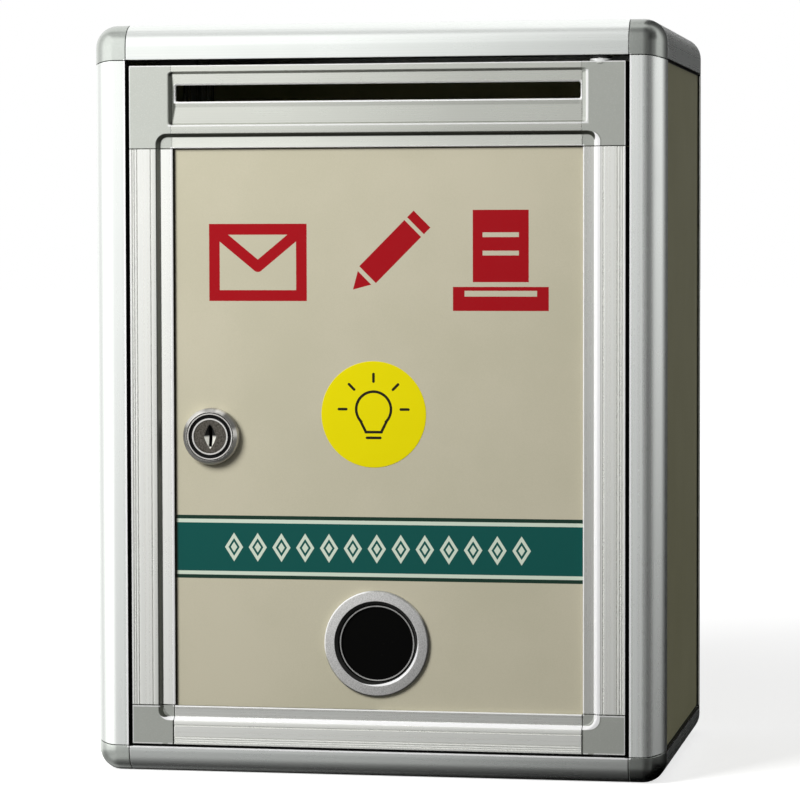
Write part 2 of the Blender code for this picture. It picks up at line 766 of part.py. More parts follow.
def make_lock_core(chrome, steel, lock_axis):
    # The plug, its cam and the cam's screw turn together. At rest the key slot is upright.
    away = (0, 1, 0)
    x, y, z = lock_point
    face = front_y - lock_proud - panel_y + plug_sink
    back = barrel_reach
    dish = plug_radius - plug_rim
    profile = [(0, face + plug_dish), (dish, face + plug_dish), (dish, face), (plug_radius, face),
               (plug_radius, back), (0, back)]
    plug = add_piece("lock_plug", turned(profile, lock_point, away, turn_steps, False), chrome,
                     lock_point, lock_axis)
    tail = block((x - plug_tail, y + back - overrun, z - plug_tail),
                 (x + plug_tail, y + back + seam + cam_thickness, z + plug_tail))
    combine(plug, add_helper("plug_tail", tail, lock_point, lock_axis), "UNION")
    keyhole = block((x - keyhole_width / 2, y + face - overrun, z - keyhole_height / 2),
                    (x + keyhole_width / 2, y + face + keyhole_depth, z + keyhole_height / 2))
    combine(plug, add_helper("keyhole_cutter", keyhole, lock_point, lock_axis), "DIFFERENCE")
    combine(plug, add_helper("key_bowl", key_bowl(y + face), lock_point, lock_axis), "DIFFERENCE")
    cam_front = y + back + seam
    hole = plug_tail + seam
    neck = cam_width / 2
    tip = cam_tip_width / 2
    outline = arc(x, z, neck, 0, 180) + [(x - tip, z - cam_length + tip)]
    outline += arc(x, z - cam_length + tip, tip, 180, 360)[1:]
    square = [(x - hole, z - hole), (x + hole, z - hole), (x + hole, z + hole), (x - hole, z + hole)]
    shape = extruded([outline, square], cam_front, cam_front + cam_thickness, lambda u, v, w: (u, w, v))
    add_piece("lock_cam", shape, steel, lock_point, lock_axis)
    head_front = cam_front + cam_thickness + seam - y
    head_back = head_front + cam_screw_thickness
    profile = [(0, head_front), (cam_screw_head, head_front), (cam_screw_head, head_back - pin_chamfer),
               (cam_screw_head - pin_chamfer, head_back), (0, head_back)]
    screw = add_piece("lock_cam_screw", turned(profile, lock_point, away, bolt_turn_steps, False), steel,
                      lock_point, lock_axis)
    reach = cam_screw_head + overrun
    driver = block((x - reach, y + head_back - cam_screw_thickness / 2, z - cam_screw_slot / 2),
                   (x + reach, y + head_back + overrun, z + cam_screw_slot / 2))
    combine(screw, add_helper("screw_slot_cutter", driver, lock_point, lock_axis), "DIFFERENCE")


def key_bowl(face_y):
    # The key slot's mouth is a diamond with bowed sides, and it narrows as it goes in.
    turns = [2 * math.pi * step / bolt_turn_steps for step in range(bolt_turn_steps)]
    power = 2 / key_bowl_bow
    outline = [(math.copysign(abs(math.cos(turn)) ** power, math.cos(turn)) * key_bowl_width / 2,
                math.copysign(abs(math.sin(turn)) ** power, math.sin(turn)) * key_bowl_height / 2)
               for turn in turns]
    width_share, height_share = key_bowl_floor_shares
    levels = [(1, 1, -overrun), (1, 1, plug_dish), (width_share, height_share, plug_dish + key_bowl_depth)]
    return lofted([[(lock_point.x + u * wide, face_y + depth, lock_point.z + v * tall)
                    for u, v in outline]
                   for wide, tall, depth in levels])


def add_axis(name, point, parent=None):
    axis = bpy.data.objects.new(name, None)
    bpy.context.scene.collection.objects.link(axis)
    axis.location = point - (parent.location if parent else Vector())
    axis.parent = parent
    return axis


def build():
    clear_scene()
    aluminium = make_material("anodised_aluminium", (0.80, 0.81, 0.80), 0.32, 1.0)
    painted = make_material("beige_paint", (0.56, 0.53, 0.41), 0.45, 0.0)
    plastic = make_material("grey_plastic", (0.52, 0.53, 0.50), 0.55, 0.0)
    steel = make_material("zinc_steel", (0.62, 0.62, 0.60), 0.38, 1.0)
    black_plastic = make_material("black_plastic", (0.03, 0.03, 0.03), 0.60, 0.0)
    chrome = make_material("chrome", (0.74, 0.73, 0.70), 0.18, 1.0)
    glass = make_material("dark_acrylic", (0.010, 0.010, 0.012), 0.08, 0.0)
    make_posts(aluminium)
    rails = make_cross_rails(aluminium)
    make_side_rails(aluminium)
    make_corner_blocks(plastic)
    make_case_panels(painted)
    make_pivot_bushes(rails, black_plastic)
    make_door_stops(black_plastic)
    hinge = add_axis("door_hinge_axis", hinge_point)
    lock_axis = add_axis("lock_axis", lock_point, hinge)
    make_door_profiles(aluminium, hinge)
    make_door_corners(plastic, hinge)
    make_pivot_pins(steel, hinge)
    make_door_panel(painted, hinge)
    make_window(aluminium, glass, black_plastic, hinge)
    make_lock_housing(chrome, steel, hinge)
    make_lock_core(chrome, steel, lock_axis)
    bpy.context.view_layer.update()


build()
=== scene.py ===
# Looks of the suggestion box: its finishes, printed marks and round label, with the lamps, floor and camera.
# Metres, +Z up, and the front faces -Y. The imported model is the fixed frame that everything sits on.
import json
import math

import bpy
import numpy as np
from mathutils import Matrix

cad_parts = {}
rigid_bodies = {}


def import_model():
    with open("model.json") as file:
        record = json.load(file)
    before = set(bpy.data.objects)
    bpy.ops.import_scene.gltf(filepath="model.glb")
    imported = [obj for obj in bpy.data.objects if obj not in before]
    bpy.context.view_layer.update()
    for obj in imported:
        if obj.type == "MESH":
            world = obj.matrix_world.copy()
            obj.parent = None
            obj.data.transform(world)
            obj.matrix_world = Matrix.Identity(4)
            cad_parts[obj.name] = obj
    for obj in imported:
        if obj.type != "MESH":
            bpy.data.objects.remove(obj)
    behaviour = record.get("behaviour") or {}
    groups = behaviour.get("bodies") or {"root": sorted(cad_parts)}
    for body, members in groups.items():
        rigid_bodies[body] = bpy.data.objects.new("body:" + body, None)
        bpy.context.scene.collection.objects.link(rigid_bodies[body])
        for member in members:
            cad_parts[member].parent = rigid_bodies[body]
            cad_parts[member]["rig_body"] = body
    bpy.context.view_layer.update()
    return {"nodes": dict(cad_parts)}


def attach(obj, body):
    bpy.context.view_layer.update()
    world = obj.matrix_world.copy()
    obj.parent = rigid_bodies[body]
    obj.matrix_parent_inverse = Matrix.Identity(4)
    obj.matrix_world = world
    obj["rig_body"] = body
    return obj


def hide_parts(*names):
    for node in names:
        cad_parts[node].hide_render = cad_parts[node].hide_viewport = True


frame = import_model()
nodes = frame["nodes"]
print("frame loaded,", len(nodes), "nodes")

viewpoint = {
    "place": (0.2502, -1.3855, 0.2093),
    "turn": (87.291, 0.124, 10.380),  # degrees
    "lens": 156.75,  # millimetres, on a frame of this width
    "frame": 36,
    "clip": (0.01, 50),
}


def added(name, data):
    made = bpy.data.objects.new(name, data)
    bpy.context.scene.collection.objects.link(made)
    return made


def makeCamera():
    camera = added("camera", bpy.data.cameras.new("camera"))
    camera.location = viewpoint["place"]
    camera.rotation_euler = [math.radians(turn) for turn in viewpoint["turn"]]
    camera.data.lens = viewpoint["lens"]
    camera.data.sensor_width = viewpoint["frame"]
    camera.data.clip_start, camera.data.clip_end = viewpoint["clip"]
    bpy.context.scene.camera = camera


def tone(red, green, blue):
    # A colour as it is read off a screen, 0 to 255, made linear.
    return tuple(((part / 255 + 0.055) / 1.055) ** 2.4 if part > 10 else part / 255 / 12.92
                 for part in (red, green, blue)) + (1,)


class Wire:
    # One socket in a node tree, so that shader sums read as plain arithmetic.
    def __init__(self, finish, socket):
        self.finish = finish
        self.socket = socket

    def sum(self, operation, *others):
        return self.finish.node("Math", {"operation": operation}, dict(enumerate((self, *others))))

    def __add__(self, other):
        return self.sum("ADD", other)

    def __sub__(self, other):
        return self.sum("SUBTRACT", other)

    def __mul__(self, other):
        return self.sum("MULTIPLY", other)

    def __truediv__(self, other):
        return self.sum("DIVIDE", other)

    def __rsub__(self, other):
        return self.finish.node("Math", {"operation": "SUBTRACT"}, {0: other, 1: self})

    __radd__ = __add__
    __rmul__ = __mul__

    def __neg__(self):
        return self * -1

    def __abs__(self):
        return self.sum("ABSOLUTE")

    def fade(self, low, high):
        # 0 at low and 1 at high, with a smooth run between.
        return self.finish.node("MapRange", {"interpolation_type": "SMOOTHSTEP"},
                                {"Value": self, "From Min": low, "From Max": high})

    def over(self, limit, soft):
        return self.fade(limit - soft, limit + soft)

    def under(self, limit, soft):
        return self.fade(limit + soft, limit - soft)

    def between(self, low, high, soft):
        return self.over(low, soft) * self.under(high, soft)

    def about(self, level, swing):
        # A level that this noise, from 0 to 1, moves up and down.
        return (self - 0.5) * swing + level

    def least(self, other):
        return self.sum("MINIMUM", other)

    def most(self, other):
        return self.sum("MAXIMUM", other)


class Finish:
    # A material, or the world, while its nodes are being laid.
    def __init__(self, owner):
        owner.use_nodes = True
        self.owner = owner
        self.tree = owner.node_tree
        self.tree.nodes.clear()

    def node(self, kind, settings=None, sockets=None, output=0):
        made = self.tree.nodes.new("ShaderNode" + kind)
        for name, value in (settings or {}).items():
            if name == "stops":
                ramp = made.color_ramp
                while len(ramp.elements) < len(value):
                    ramp.elements.new(1)
                for element, (position, colour) in zip(ramp.elements, value):
                    element.position = position
                    element.color = colour
            else:
                setattr(made, name, value)
        for name, value in (sockets or {}).items():
            if isinstance(value, Wire):
                self.tree.links.new(value.socket, made.inputs[name])
            else:
                made.inputs[name].default_value = value
        return Wire(self, made.outputs[output]) if made.outputs else None

    def place(self):
        return self.node("TexCoord", output="Object")

    def axes(self):
        parts = self.node("SeparateXYZ", sockets={0: self.place()})
        return [Wire(self, output) for output in parts.socket.node.outputs]

    def noise(self, scale, detail=2.0, roughness=0.5, vector=None):
        return self.node("TexNoise", sockets={
            "Vector": vector or self.place(), "Scale": scale, "Detail": detail, "Roughness": roughness})

    def streaks(self, scale, detail):
        # Noise drawn out along the axes whose scale is small.
        vector = self.node("Mapping", sockets={"Vector": self.place(), "Scale": scale})
        return self.noise(1.0, detail, vector=vector)

    def rays(self):
        # 1 for what the camera sees, and 1 for what metal sees.
        ray = self.node("LightPath").socket.node.outputs
        kinds = ("Is Camera Ray", "Is Transmission Ray", "Is Glossy Ray")
        camera, through, glossy = [Wire(self, ray[kind]) for kind in kinds]
        return camera.most(through), glossy

    def blend(self, share, first, second):
        return self.node("Mix", {"data_type": "RGBA"}, {0: share, 6: first, 7: second}, 2)

    def shaded(self, colour, light):
        # A colour times a grey.
        return self.node("VectorMath", {"operation": "SCALE"}, {0: colour, "Scale": light})

    def relief(self, height, depth, strength=1.0, edge=0.0, normal=None):
        # A bump, on top of an edge rounded to this radius or of another bump.
        sockets = {"Height": height, "Distance": depth, "Strength": strength}
        if edge:
            normal = self.node("Bevel", {"samples": 6}, {"Radius": edge})
        if normal:
            sockets["Normal"] = normal
        return self.node("Bump", sockets=sockets)

    def surface(self, **sockets):
        names = {name.replace("_", " "): value for name, value in sockets.items()}
        shader = self.node("BsdfPrincipled", sockets=names)
        self.node("OutputMaterial", sockets={"Surface": shader})
        return self.owner


def newFinish(name):
    return Finish(bpy.data.materials.new(name))


def stepped(finish, value, stops, low, high):
    # Levels between stops, as a grey ramp.
    ramp = [((place - low) / (high - low), (level, level, level, 1)) for place, level in stops]
    share = finish.node("MapRange", sockets={"Value": value, "From Min": low, "From Max": high})
    return finish.node("ValToRGB", {"stops": ramp}, {0: share})


def length(across, up):
    return (across * across + up * up).sum("SQRT")


white = (1, 1, 1, 1)

# Painted black shade in the narrow gap round the door and on the posts beside it.
gap = {
    "door": (0.0966, 0.0116, 0.2747),  # half width, bottom and top, just inside the door's outline
    "case": (0.0983, 0.01032, 0.27732),  # and just outside the case's opening
    "soft": 0.00005,  # of these edges
    "boss": (0.0868, 0.0045),  # middle and half width of the hinge boss, which is bright
    "posts": ((-0.0981, -0.0965), (0.0965, 0.0982)),  # more shade, left and right
    "postFace": (-0.0731, -0.0735),  # but only this near the front
    "start": (-0.0740, -0.0734),  # faces behind this may look into the gap
    "reach": 0.004,  # how near the other side is while the door is closed
    "closed": (0.80, 0.60),  # how open a face's view is: not shaded, and black
    # the black of the painted shade in gaps and grooves and on the window's bevel
    "black": (0.010, 0.010, 0.009, 1),
}


def inGap(finish, x, y, z):
    # 1 on faces that look into the narrow gap round the door, while the door is closed, where black is painted
    # as shade.
    soft = gap["soft"]
    halfDoor, bottomDoor, topDoor = gap["door"]
    halfCase, bottomCase, topCase = gap["case"]
    middle, reach = gap["boss"]
    boss = abs(x - middle).under(reach, soft)
    outOfDoor = abs(x).over(halfDoor, soft).most(z.under(bottomDoor, soft)).most(
        z.over(topDoor, soft) * (1 - boss))
    inCase = abs(x).under(halfCase, soft) * z.between(bottomCase, topCase, soft)
    left, right = gap["posts"]
    post = x.between(*left, soft).most(x.between(*right, soft)) * y.fade(*gap["postFace"])
    openness = finish.node("AmbientOcclusion", {"samples": 6}, {"Distance": gap["reach"]}, "AO")
    behind = y.fade(*gap["start"]) * openness.fade(*gap["closed"])
    return outOfDoor.most(post) * inCase * behind.most(post)


# Painted shade and painted highlights on the step round the door's sheet and along the sheet's edge.
shoulder = {
    "half": 0.0802,  # half width, bottom and top of the door's sheet as seen
    "bottom": 0.0264,
    "top": 0.2430,
    "turn": 0.0016,  # from there to the middle of the step's turned corners
    "edges": (0.0026, 0.0042),  # and the step's edges, from that middle
    "wider": (0.0003, 0.0007),  # more for its uprights, and again at the right
    "soft": (0.00024, 0.001, 0.0001),  # its edges, the change between its sides, and from dark to bright
    "slope": (-0.0715, -0.0720),
    "share": 0.9,
    "line": (0.0004, 0.00012, 0.35),  # a painted dark line outside it: width, softness and share
    # A bottom corner's seam, the sheet's painted shadow along its edge and its painted highlight: limits, how
    # near the front, and share.
    "seam": ((0.0801, 0.0805, 0.00008), (0.0114, 0.0264, 0.0001), (-0.0730, -0.0735), 0.85),
    "wall": ((-0.0007, 0.0001, 0.00005), (0.002, -0.002), (0.2400, 0.2410), (-0.07255, -0.07235)),
    "rim": ((-0.0005, 0.0005, 0.00006), (-0.0722, -0.0724), 0.7),
    "front": (-0.0650, -0.0660),  # no shade lies farther back
}

recess = {
    "end": (-0.0816, 0.0003, 0.0004),  # where the painted shade at the left end starts, and its softness
    "width": (0.0019, 0.0013),  # how wide that shade is, and what its bulge adds
    "bulge": (0.2590, 0.0132, 70),  # where it is widest, and how it narrows above and below
    "heights": (0.2520, 0.2722, 0.0003),
    "wall": ((-0.0739, -0.0736), (-0.0715, -0.0720), 0.9),
    "plate": ((-0.0730, -0.0728), (-0.0700, -0.0710)),  # y limits of the slot's plate
    "slot": (0.0004, 0.0789, 0.26415, 0.00315),  # middle and half size of the slot
    "rim": (-0.0001, 0.0006),  # the painted highlight round the slot, and its level
    "rimLight": (0.6, 0.3, 0.001),
    "lit": ((0.0814, 0.0825, 0.0001), (-0.0812, 0.0822, 0.0002)),  # its painted highlights at the right end and foot, across
    "litUp": ((0.2514, 0.2718), (0.2514, 0.2521)),
    "litFace": ((-0.0726, -0.0727), 0.65),
    "under": ((0.2588, 0.2604, 0.0003), (0.0800, 0.0780)),  # a painted grey shade line under the slot
}

outline = {  # painted highlights on edges: where they begin or end across and up, how near the front, and their share
    "soft": 0.00006,
    "door": (0.0962, 0.2745, (0.0975, 0.0973), (0.0110, 0.2762), (-0.0736, -0.0738), 0.65),
    "corner": ((0.0258, 0.0263), (0.0113, 0.0119), (0.0806, 0.0965), (0.0835, 0.0010, 0.0012), 0.8),
    "case": (0.0988, 0.0098, (0.0975, 0.0977), (0.0109, 0.0107), (0.2775, 0.2773), (-0.0740, -0.0742), 0.85),
    "boss": ((0.2751, 0.2762), (-0.0680, -0.0690), 0.6),
}


def shadedParts(x, y, z):
    # The step round the door's sheet has painted shade where it faces right or down, away from the lamp, and a
    # painted highlight where it faces left or up. Thin edges get painted highlights too.
    middle = (shoulder["top"] + shoulder["bottom"]) / 2
    across = abs(x) - shoulder["half"]
    up = abs(z - middle) - (shoulder["top"] - shoulder["bottom"]) / 2
    beyondX, beyondZ = [(beyond - shoulder["turn"]).most(0.0) for beyond in (across, up)]
    square = beyondX * beyondX + beyondZ * beyondZ
    reach = square.sum("SQRT")
    level = beyondZ * beyondZ / square.most(1e-12)  # 1 where the step runs level, 0 where it stands upright
    soft, sides, meeting = shoulder["soft"]
    right = x.over(0.0, sides)
    lit = (1 - level) * right + level * (z - middle).under(0.0, sides)
    wider, widerRight = shoulder["wider"]
    inner, outer = shoulder["edges"]
    outer = (1 - level) * (wider + right * widerRight) + outer
    onSlope = y.fade(*shoulder["slope"])
    step = (reach - inner).fade(0.0, soft) * (reach - outer).fade(0.0, -soft) * onSlope
    shade = (outer - reach - (outer - inner) * (lit * lit)).over(0.0, meeting)
    width, lineSoft, share = shoulder["line"]
    line = (reach - outer).between(0.0, width, lineSoft) * right * (1 - level)
    dark = (step * shade * shoulder["share"]).most(line * onSlope * share)
    seam, heights, face, share = shoulder["seam"]
    dark = dark.most(abs(x).between(*seam) * z.between(*heights) * y.fade(*face) * share)
    edge = across.most(up)
    outward, toLeft, toTop, face = shoulder["wall"]
    dark = dark.most(edge.between(*outward) * x.fade(*toLeft).most(z.fade(*toTop)) * y.fade(*face))
    dark = dark.most(recessEnd(x, y, z)) * y.fade(*shoulder["front"])
    outward, face, share = shoulder["rim"]
    bright = (step * (1 - shade)).most(edge.between(*outward) * y.fade(*face) * share)
    return dark, bright.most(brightRims(x, y, z))


def recessEnd(x, y, z):
    # Painted shade at the left end of the slot's recess, where its wall shades it.
    start, soft, footSoft = recess["end"]
    width, more = recess["width"]
    widest, narrows, steeper = recess["bulge"]
    bulge = 1 - abs(z - widest) / narrows - (widest - z).most(0.0) * steeper
    end = x.fade(start, start + soft) * (x - (start + width + bulge * more)).under(0.0, footSoft)
    front, back, share = recess["wall"]
    return end * z.between(*recess["heights"]) * y.fade(*front) * y.fade(*back) * share


def onPlate(y):
    front, back = recess["plate"]
    return y.fade(*front) * y.fade(*back)


def brightRims(x, y, z):
    # Painted highlights on thin edges: round the slot, along the recess, the hinge boss, the door and the
    # case's opening.
    soft = outline["soft"]
    middleX, halfX, middleZ, halfZ = recess["slot"]
    slot = (abs(x - middleX) - halfX).most(abs(z - middleZ) - halfZ)
    light, more, run = recess["rimLight"]
    rim = slot.between(*recess["rim"], soft) * onPlate(y) * (light + more * z.fade(middleZ + run, middleZ))
    end, foot = [x.between(*ends) for ends in recess["lit"]]
    tall, short = [z.between(*heights, soft) for heights in recess["litUp"]]
    face, share = recess["litFace"]
    rim = rim.most(end.most(short * foot) * tall * y.fade(*face) * share)
    middle, reach = gap["boss"]
    heights, face, share = outline["boss"]
    rim = rim.most(abs(x - middle).under(reach, soft) * z.between(*heights, soft) * y.fade(*face) * share)
    side, top, outer, heights, face, share = outline["door"]
    onDoor = abs(x).over(side, soft).most(z.over(top, soft)) * abs(x).fade(*outer) * z.between(*heights, soft)
    high, low, ends, (place, none, full), level = outline["corner"]
    corner = z.between(*high, soft).most(z.between(*low, soft)) * abs(x).between(*ends, soft) * abs(
        abs(x) - place).fade(none, full)  # not where the step crosses
    rim = rim.most(onDoor.most(corner * level) * y.fade(*face) * share)
    side, bottom, inner, below, above, face, share = outline["case"]
    onCase = abs(x).under(side, soft) * z.over(bottom, soft) * abs(x).fade(*inner).most(z.fade(*below))
    return rim.most(onCase * z.fade(*above) * y.fade(*face) * share)


def underSlot(x, y, z):
    # A painted grey shade line under the slot, where the plate turns in.
    heights, ends = recess["under"]
    return z.between(*heights) * abs(x).fade(*ends) * onPlate(y)


inward = {
    "side": (0.1096, 0.1094),
    "depths": (-0.0630, 0.0742, 0.0002),
    "heights": (0.0014, 0.2895, 0.0002),
}


def inside(x, y, z):
    # Painted shade on the faces of the case's profiles that look inward, where little light reaches them.
    return abs(x).fade(*inward["side"]) * y.between(*inward["depths"]) * z.between(*inward["heights"])


groove = {"side": 0.1100, "rear": 0.0645, "top": 0.2756, "bottom": 0.0120, "width": 0.0005, "skin": 0.1111,
          "soft": 0.00005, "start": (-0.0640, -0.0636)}


def inGroove(x, y, z):
    # 1 where a side panel enters the profiles: behind, above and below, where black is painted as shade.
    width, soft, bottom, top = [groove[name] for name in ("width", "soft", "bottom", "top")]
    behind = abs(y - groove["rear"]).under(width, soft) * abs(x).under(groove["skin"], soft)
    above, below = [abs(z - height).under(width, soft) for height in (top, bottom)]
    level = above.most(below) * y.fade(*groove["start"])
    return behind.most(level) * abs(x).over(groove["side"], soft) * z.between(
        bottom - width, top + width, soft)


extrusion = {
    "case": (tone(247, 250, 247), tone(238, 242, 238)),  # light and dark of the die's lines
    "door": (tone(249, 250, 245), tone(240, 241, 235)),
    "slot": (tone(213, 215, 207), tone(206, 208, 200)),
    "shade": (0.060, 0.066, 0.052, 1),
    "roughness": 0.28,
    "uneven": (0.08, 0.05),  # what the lines and the clouds add to that
    "line": 1200,  # die lines to the metre
    "length": 1.0,  # and how slowly they change on their way along
    "broad": 9,  # broader lines are this many times wider
    "cloud": 60.0,
    "contrast": (0.32, 0.68),
    "relief": 0.000002,
    "edge": 0.00035,
    "slotPale": (1.10, 0.23, (-0.05, 0.055)),  # the slot rail's painted light: its level, its fall to the right and where
    "slotLine": 0.2,  # share of the painted grey shade line under the slot
    "inside": 0.6,  # and of the shade on the faces that look inward
    "fall": (-0.03, 0.11, 0.25),  # front cross rails, painted darker to the right as shade: start, end, share
    "crest": (0.2868, 0.2845),  # but not on the upper one's top
    "front": (-0.060, -0.064),
}


def anodisedExtrusion(along, part):
    # Anodised aluminium with the die's fine lines along the profile.
    finish = newFinish(f"anodised_{part}_{along}")
    scale = [extrusion["length"] if axis == along else extrusion["line"] for axis in "xyz"]
    lines = finish.streaks(scale, 1.0)
    broad = finish.streaks([size / extrusion["broad"] for size in scale], 0.0)
    cloud = finish.noise(extrusion["cloud"], 3.0)
    x, y, z = axes = finish.axes()
    paintedSlitShade = inGap(finish, *axes).most(inGroove(*axes))
    light, dark = extrusion[part]
    colour = finish.blend((lines * 0.6 + broad * 0.4).fade(*extrusion["contrast"]), dark, light)
    # painted light on the slot rail, brighter at the left, and a painted shade line under the slot
    if part == "slot":
        pale, fall, run = extrusion["slotPale"]
        level = (1 - underSlot(*axes) * extrusion["slotLine"]) * (pale - x.fade(*run) * fall)
        colour = finish.shaded(colour, level)
    # painted shade on the case's inward faces
    if part == "case":
        colour = finish.shaded(colour, 1 - inside(*axes) * extrusion["inside"])
    # the front cross rails get painted shade toward the right
    if part == "case" and along == "x":
        start, end, fall = extrusion["fall"]
        paintedRightShade = x.fade(start, end) * z.fade(*extrusion["crest"]) * y.fade(*extrusion["front"])
        colour = finish.shaded(colour, 1 - paintedRightShade * fall)
    withLines, withClouds = extrusion["uneven"]
    roughness = cloud.about(lines.about(extrusion["roughness"], withLines), withClouds)
    normal = finish.relief(lines, extrusion["relief"], 0.4, extrusion["edge"])
    return finishedMetal(finish, axes, paintedSlitShade, colour, 1.0, roughness, normal)


def finishedMetal(finish, axes, paintedSlitShade, colour, metallic, roughness, normal):
    # Painted shade and painted highlights over a metal or metallic plastic, and painted black shade where it
    # looks into a gap or a groove.
    dark, bright = shadedParts(*axes)
    bright = bright * (1 - paintedSlitShade)
    colour = finish.blend(dark, colour, extrusion["shade"])
    colour = finish.blend(bright, colour, white)
    return finish.surface(
        Base_Color=finish.blend(paintedSlitShade, colour, gap["black"]),
        Metallic=(1 - paintedSlitShade) * (1 - bright) * metallic,
        Roughness=roughness + paintedSlitShade * 0.7,
        Normal=normal)


blocks = {
    "case": {"base": tone(200, 205, 199), "fleck": tone(218, 221, 216), "metallic": 1.0, "roughness": 0.25,
             "grain": 0.06, "crown": 9.0, "tints": (0.93, 0.66, 1.30, 0.82)},
    "door": {"base": tone(181, 184, 177), "fleck": tone(196, 198, 192), "metallic": 0.90, "roughness": 0.42,
             "grain": 0.08, "crown": 0.0, "tints": (1.48, 1.09, 1.00, 0.95)},
    "grain": 1900,
    "flakes": 5200.0,
    "glint": (0.72, 0.98),
    "flow": (40, 40, 90),
    "uneven": 0.04,
    "relief": 0.000006,
    "edge": 0.00030,
    # In front the corners have painted light and shade: upper left, upper right, lower left and lower right.
    "front": (0.03, -0.03),
    "left": (0.05, -0.05),
    "high": (0.08, 0.20),
    "shade": (0.1056, 0.1079, 0.0007, 0.55),  # a painted dark strip, standing for a dark reflection, down the upper right case corner's rounding
    "shadeHeights": (0.2700, 0.2862, 0.0012),
    "middle": (0.0960, 0.1440, 0.1312),  # of a corner's crown: across, the box's middle and height from it
    "level": 0.0022,  # how far from there the crown grows steeper
}


def silverPlastic(part):
    # Moulded corner pieces with silver in the plastic: fine grain and faint flakes, with painted light and
    # shade by corner.
    finish = newFinish(f"silver_plastic_{part}")
    facts = blocks[part]
    grain = finish.noise(blocks["grain"], 3.0, 0.6)
    flake = finish.node("TexVoronoi", output="Color", sockets={
        "Vector": finish.place(), "Scale": blocks["flakes"]})
    glint = finish.node("SeparateColor", sockets={0: flake})
    flow = finish.streaks(blocks["flow"], 3.0)
    share = glint.fade(*blocks["glint"]) * 0.6 + (flow - 0.5) * 0.5
    x, y, z = axes = finish.axes()
    paintedSlitShade = inGap(finish, *axes)
    colour = finish.blend(share, facts["base"], facts["fleck"])
    # painted light and shade by corner, in front
    upperLeft, upperRight, lowerLeft, lowerRight = facts["tints"]
    left = x.fade(*blocks["left"])
    upper = left * (upperLeft - upperRight) + upperRight
    lower = left * (lowerLeft - lowerRight) + lowerRight
    high = z.fade(*blocks["high"])
    front = y.fade(*blocks["front"])
    colour = finish.shaded(colour, (upper * high + lower * (1 - high)) * front + 1 - front)
    # a painted dark strip standing for a dark reflection on the upper right case corner
    if part == "case":
        start, end, soft, dull = blocks["shade"]
        strip = x.between(start, end, soft) * z.between(*blocks["shadeHeights"])
        colour = finish.shaded(colour, 1 - strip * (front * dull))
    across, middle, reach = blocks["middle"]
    offX = (abs(x) - across).most(0.0)
    offZ = (abs(z - middle) - reach).most(0.0)
    steepX = offX.least(blocks["level"])
    steepZ = offZ.least(blocks["level"])
    dome = steepX * (offX * 2 - steepX) + steepZ * (offZ * 2 - steepZ)
    normal = finish.relief(dome * -facts["crown"], 1.0, 1.0, blocks["edge"])
    normal = finish.relief(grain, blocks["relief"], 0.4, normal=normal)
    roughness = flow.about(grain.about(facts["roughness"], facts["grain"]), blocks["uneven"])
    return finishedMetal(finish, axes, paintedSlitShade, colour, facts["metallic"], roughness, normal)


paint = {
    "door": (tone(203, 197, 174), tone(196, 191, 167)),
    "case": (tone(212, 209, 168), tone(205, 202, 160)),
    "cloud": 22.0,
    "speck": 2400.0,
    "contrast": (0.35, 0.65),
    "roughness": 0.40,
    "uneven": 0.10,
    "wear": 130.0,
    "peel": 900,
    "finer": 3.4,
    "relief": 0.00002,
}


def paintedColour(finish, part):
    light, dark = paint[part]
    cloud = finish.noise(paint["cloud"], 4.0)
    speck = finish.noise(paint["speck"], 2.0)
    return finish.blend((cloud * 0.7 + speck * 0.3).fade(*paint["contrast"]), dark, light)


def paintedRoughness(finish):
    return finish.noise(paint["wear"], 4.0).about(paint["roughness"], paint["uneven"])


def paintedRelief(finish):
    peel = finish.noise(paint["peel"], 2.0)
    fine = finish.noise(paint["peel"] * paint["finer"], 2.0)
    return finish.relief(peel * 0.7 + fine * 0.3, paint["relief"], 0.45)


def paintedSheet():
    # Beige powder coat on the case's sheets: a soft orange peel, and painted black shade where they enter the
    # profiles.
    finish = newFinish("beige_powder_coat")
    paintedSlitShade = inGroove(*finish.axes())
    return finish.surface(
        Base_Color=finish.blend(paintedSlitShade, paintedColour(finish, "case"), gap["black"]),
        Roughness=paintedRoughness(finish),
        Specular_IOR_Level=0.3,
        Normal=paintedRelief(finish))


inks = {
    "teal": tone(4, 80, 74),
    "dark": tone(16, 48, 36),
    "cream": tone(214, 226, 208),
    "red": tone(162, 5, 19),
}

band = {
    "bottom": 0.0762,
    "top": 0.1008,
    "line": 0.00145,  # each dark and each cream line
    "lozenge": (0.0056, 0.0036),  # half height and half width
    "ring": (0.36, 0.62, 0.02),  # the teal ring in a lozenge: from, to and softness, as shares of it
    "pitch": 0.0094,
    "reach": 0.0611,  # half the row, a whole number of lozenges
}

marks = {
    "middles": (-0.0465, 0.0014, 0.0484),
    "height": 0.1989,
    "stroke": 0.0021,  # half the width of a line
    "soft": 0.00008,
    "letter": (0.0172, 0.0128),  # half width and half height
    "flap": ((0, -0.0016), (0.0172, 0.0125)),
    "pencil": 0.0046,  # half width
    "body": (0.0058, 0.0125),  # middle and half length
    "cap": (0.0216, 0.0018),
    "lead": (-0.0148, -0.0084, 0.86, 0.50),  # tip, foot and slope
    "sheet": (0.0108, 0.0062, 0.0138),  # half width, middle and half height
    "lines": (0.0070, 0.0070, 0.0035, 0.0009),  # half width, middle, distance from it and half height
    "slot": (0.0185, -0.0140, 0.0046),
    "mouth": (0.0140, -0.0120, 0.0011),
}


def strokeDistance(x, z, start, end):
    # Distance from a line between two points: the point less its nearest place on the line.
    alongX, alongZ = end[0] - start[0], end[1] - start[1]
    square = alongX ** 2 + alongZ ** 2
    share = (((x - start[0]) * alongX + (z - start[1]) * alongZ) / square).most(0.0).least(1.0)
    return length(x - start[0] - share * alongX, z - start[1] - share * alongZ)


def boxDistance(x, z, halfWidth, middle, halfHeight):
    # Distance from a rectangle's edge: less than nothing within.
    return (abs(x) - halfWidth).most(abs(z - middle) - halfHeight)


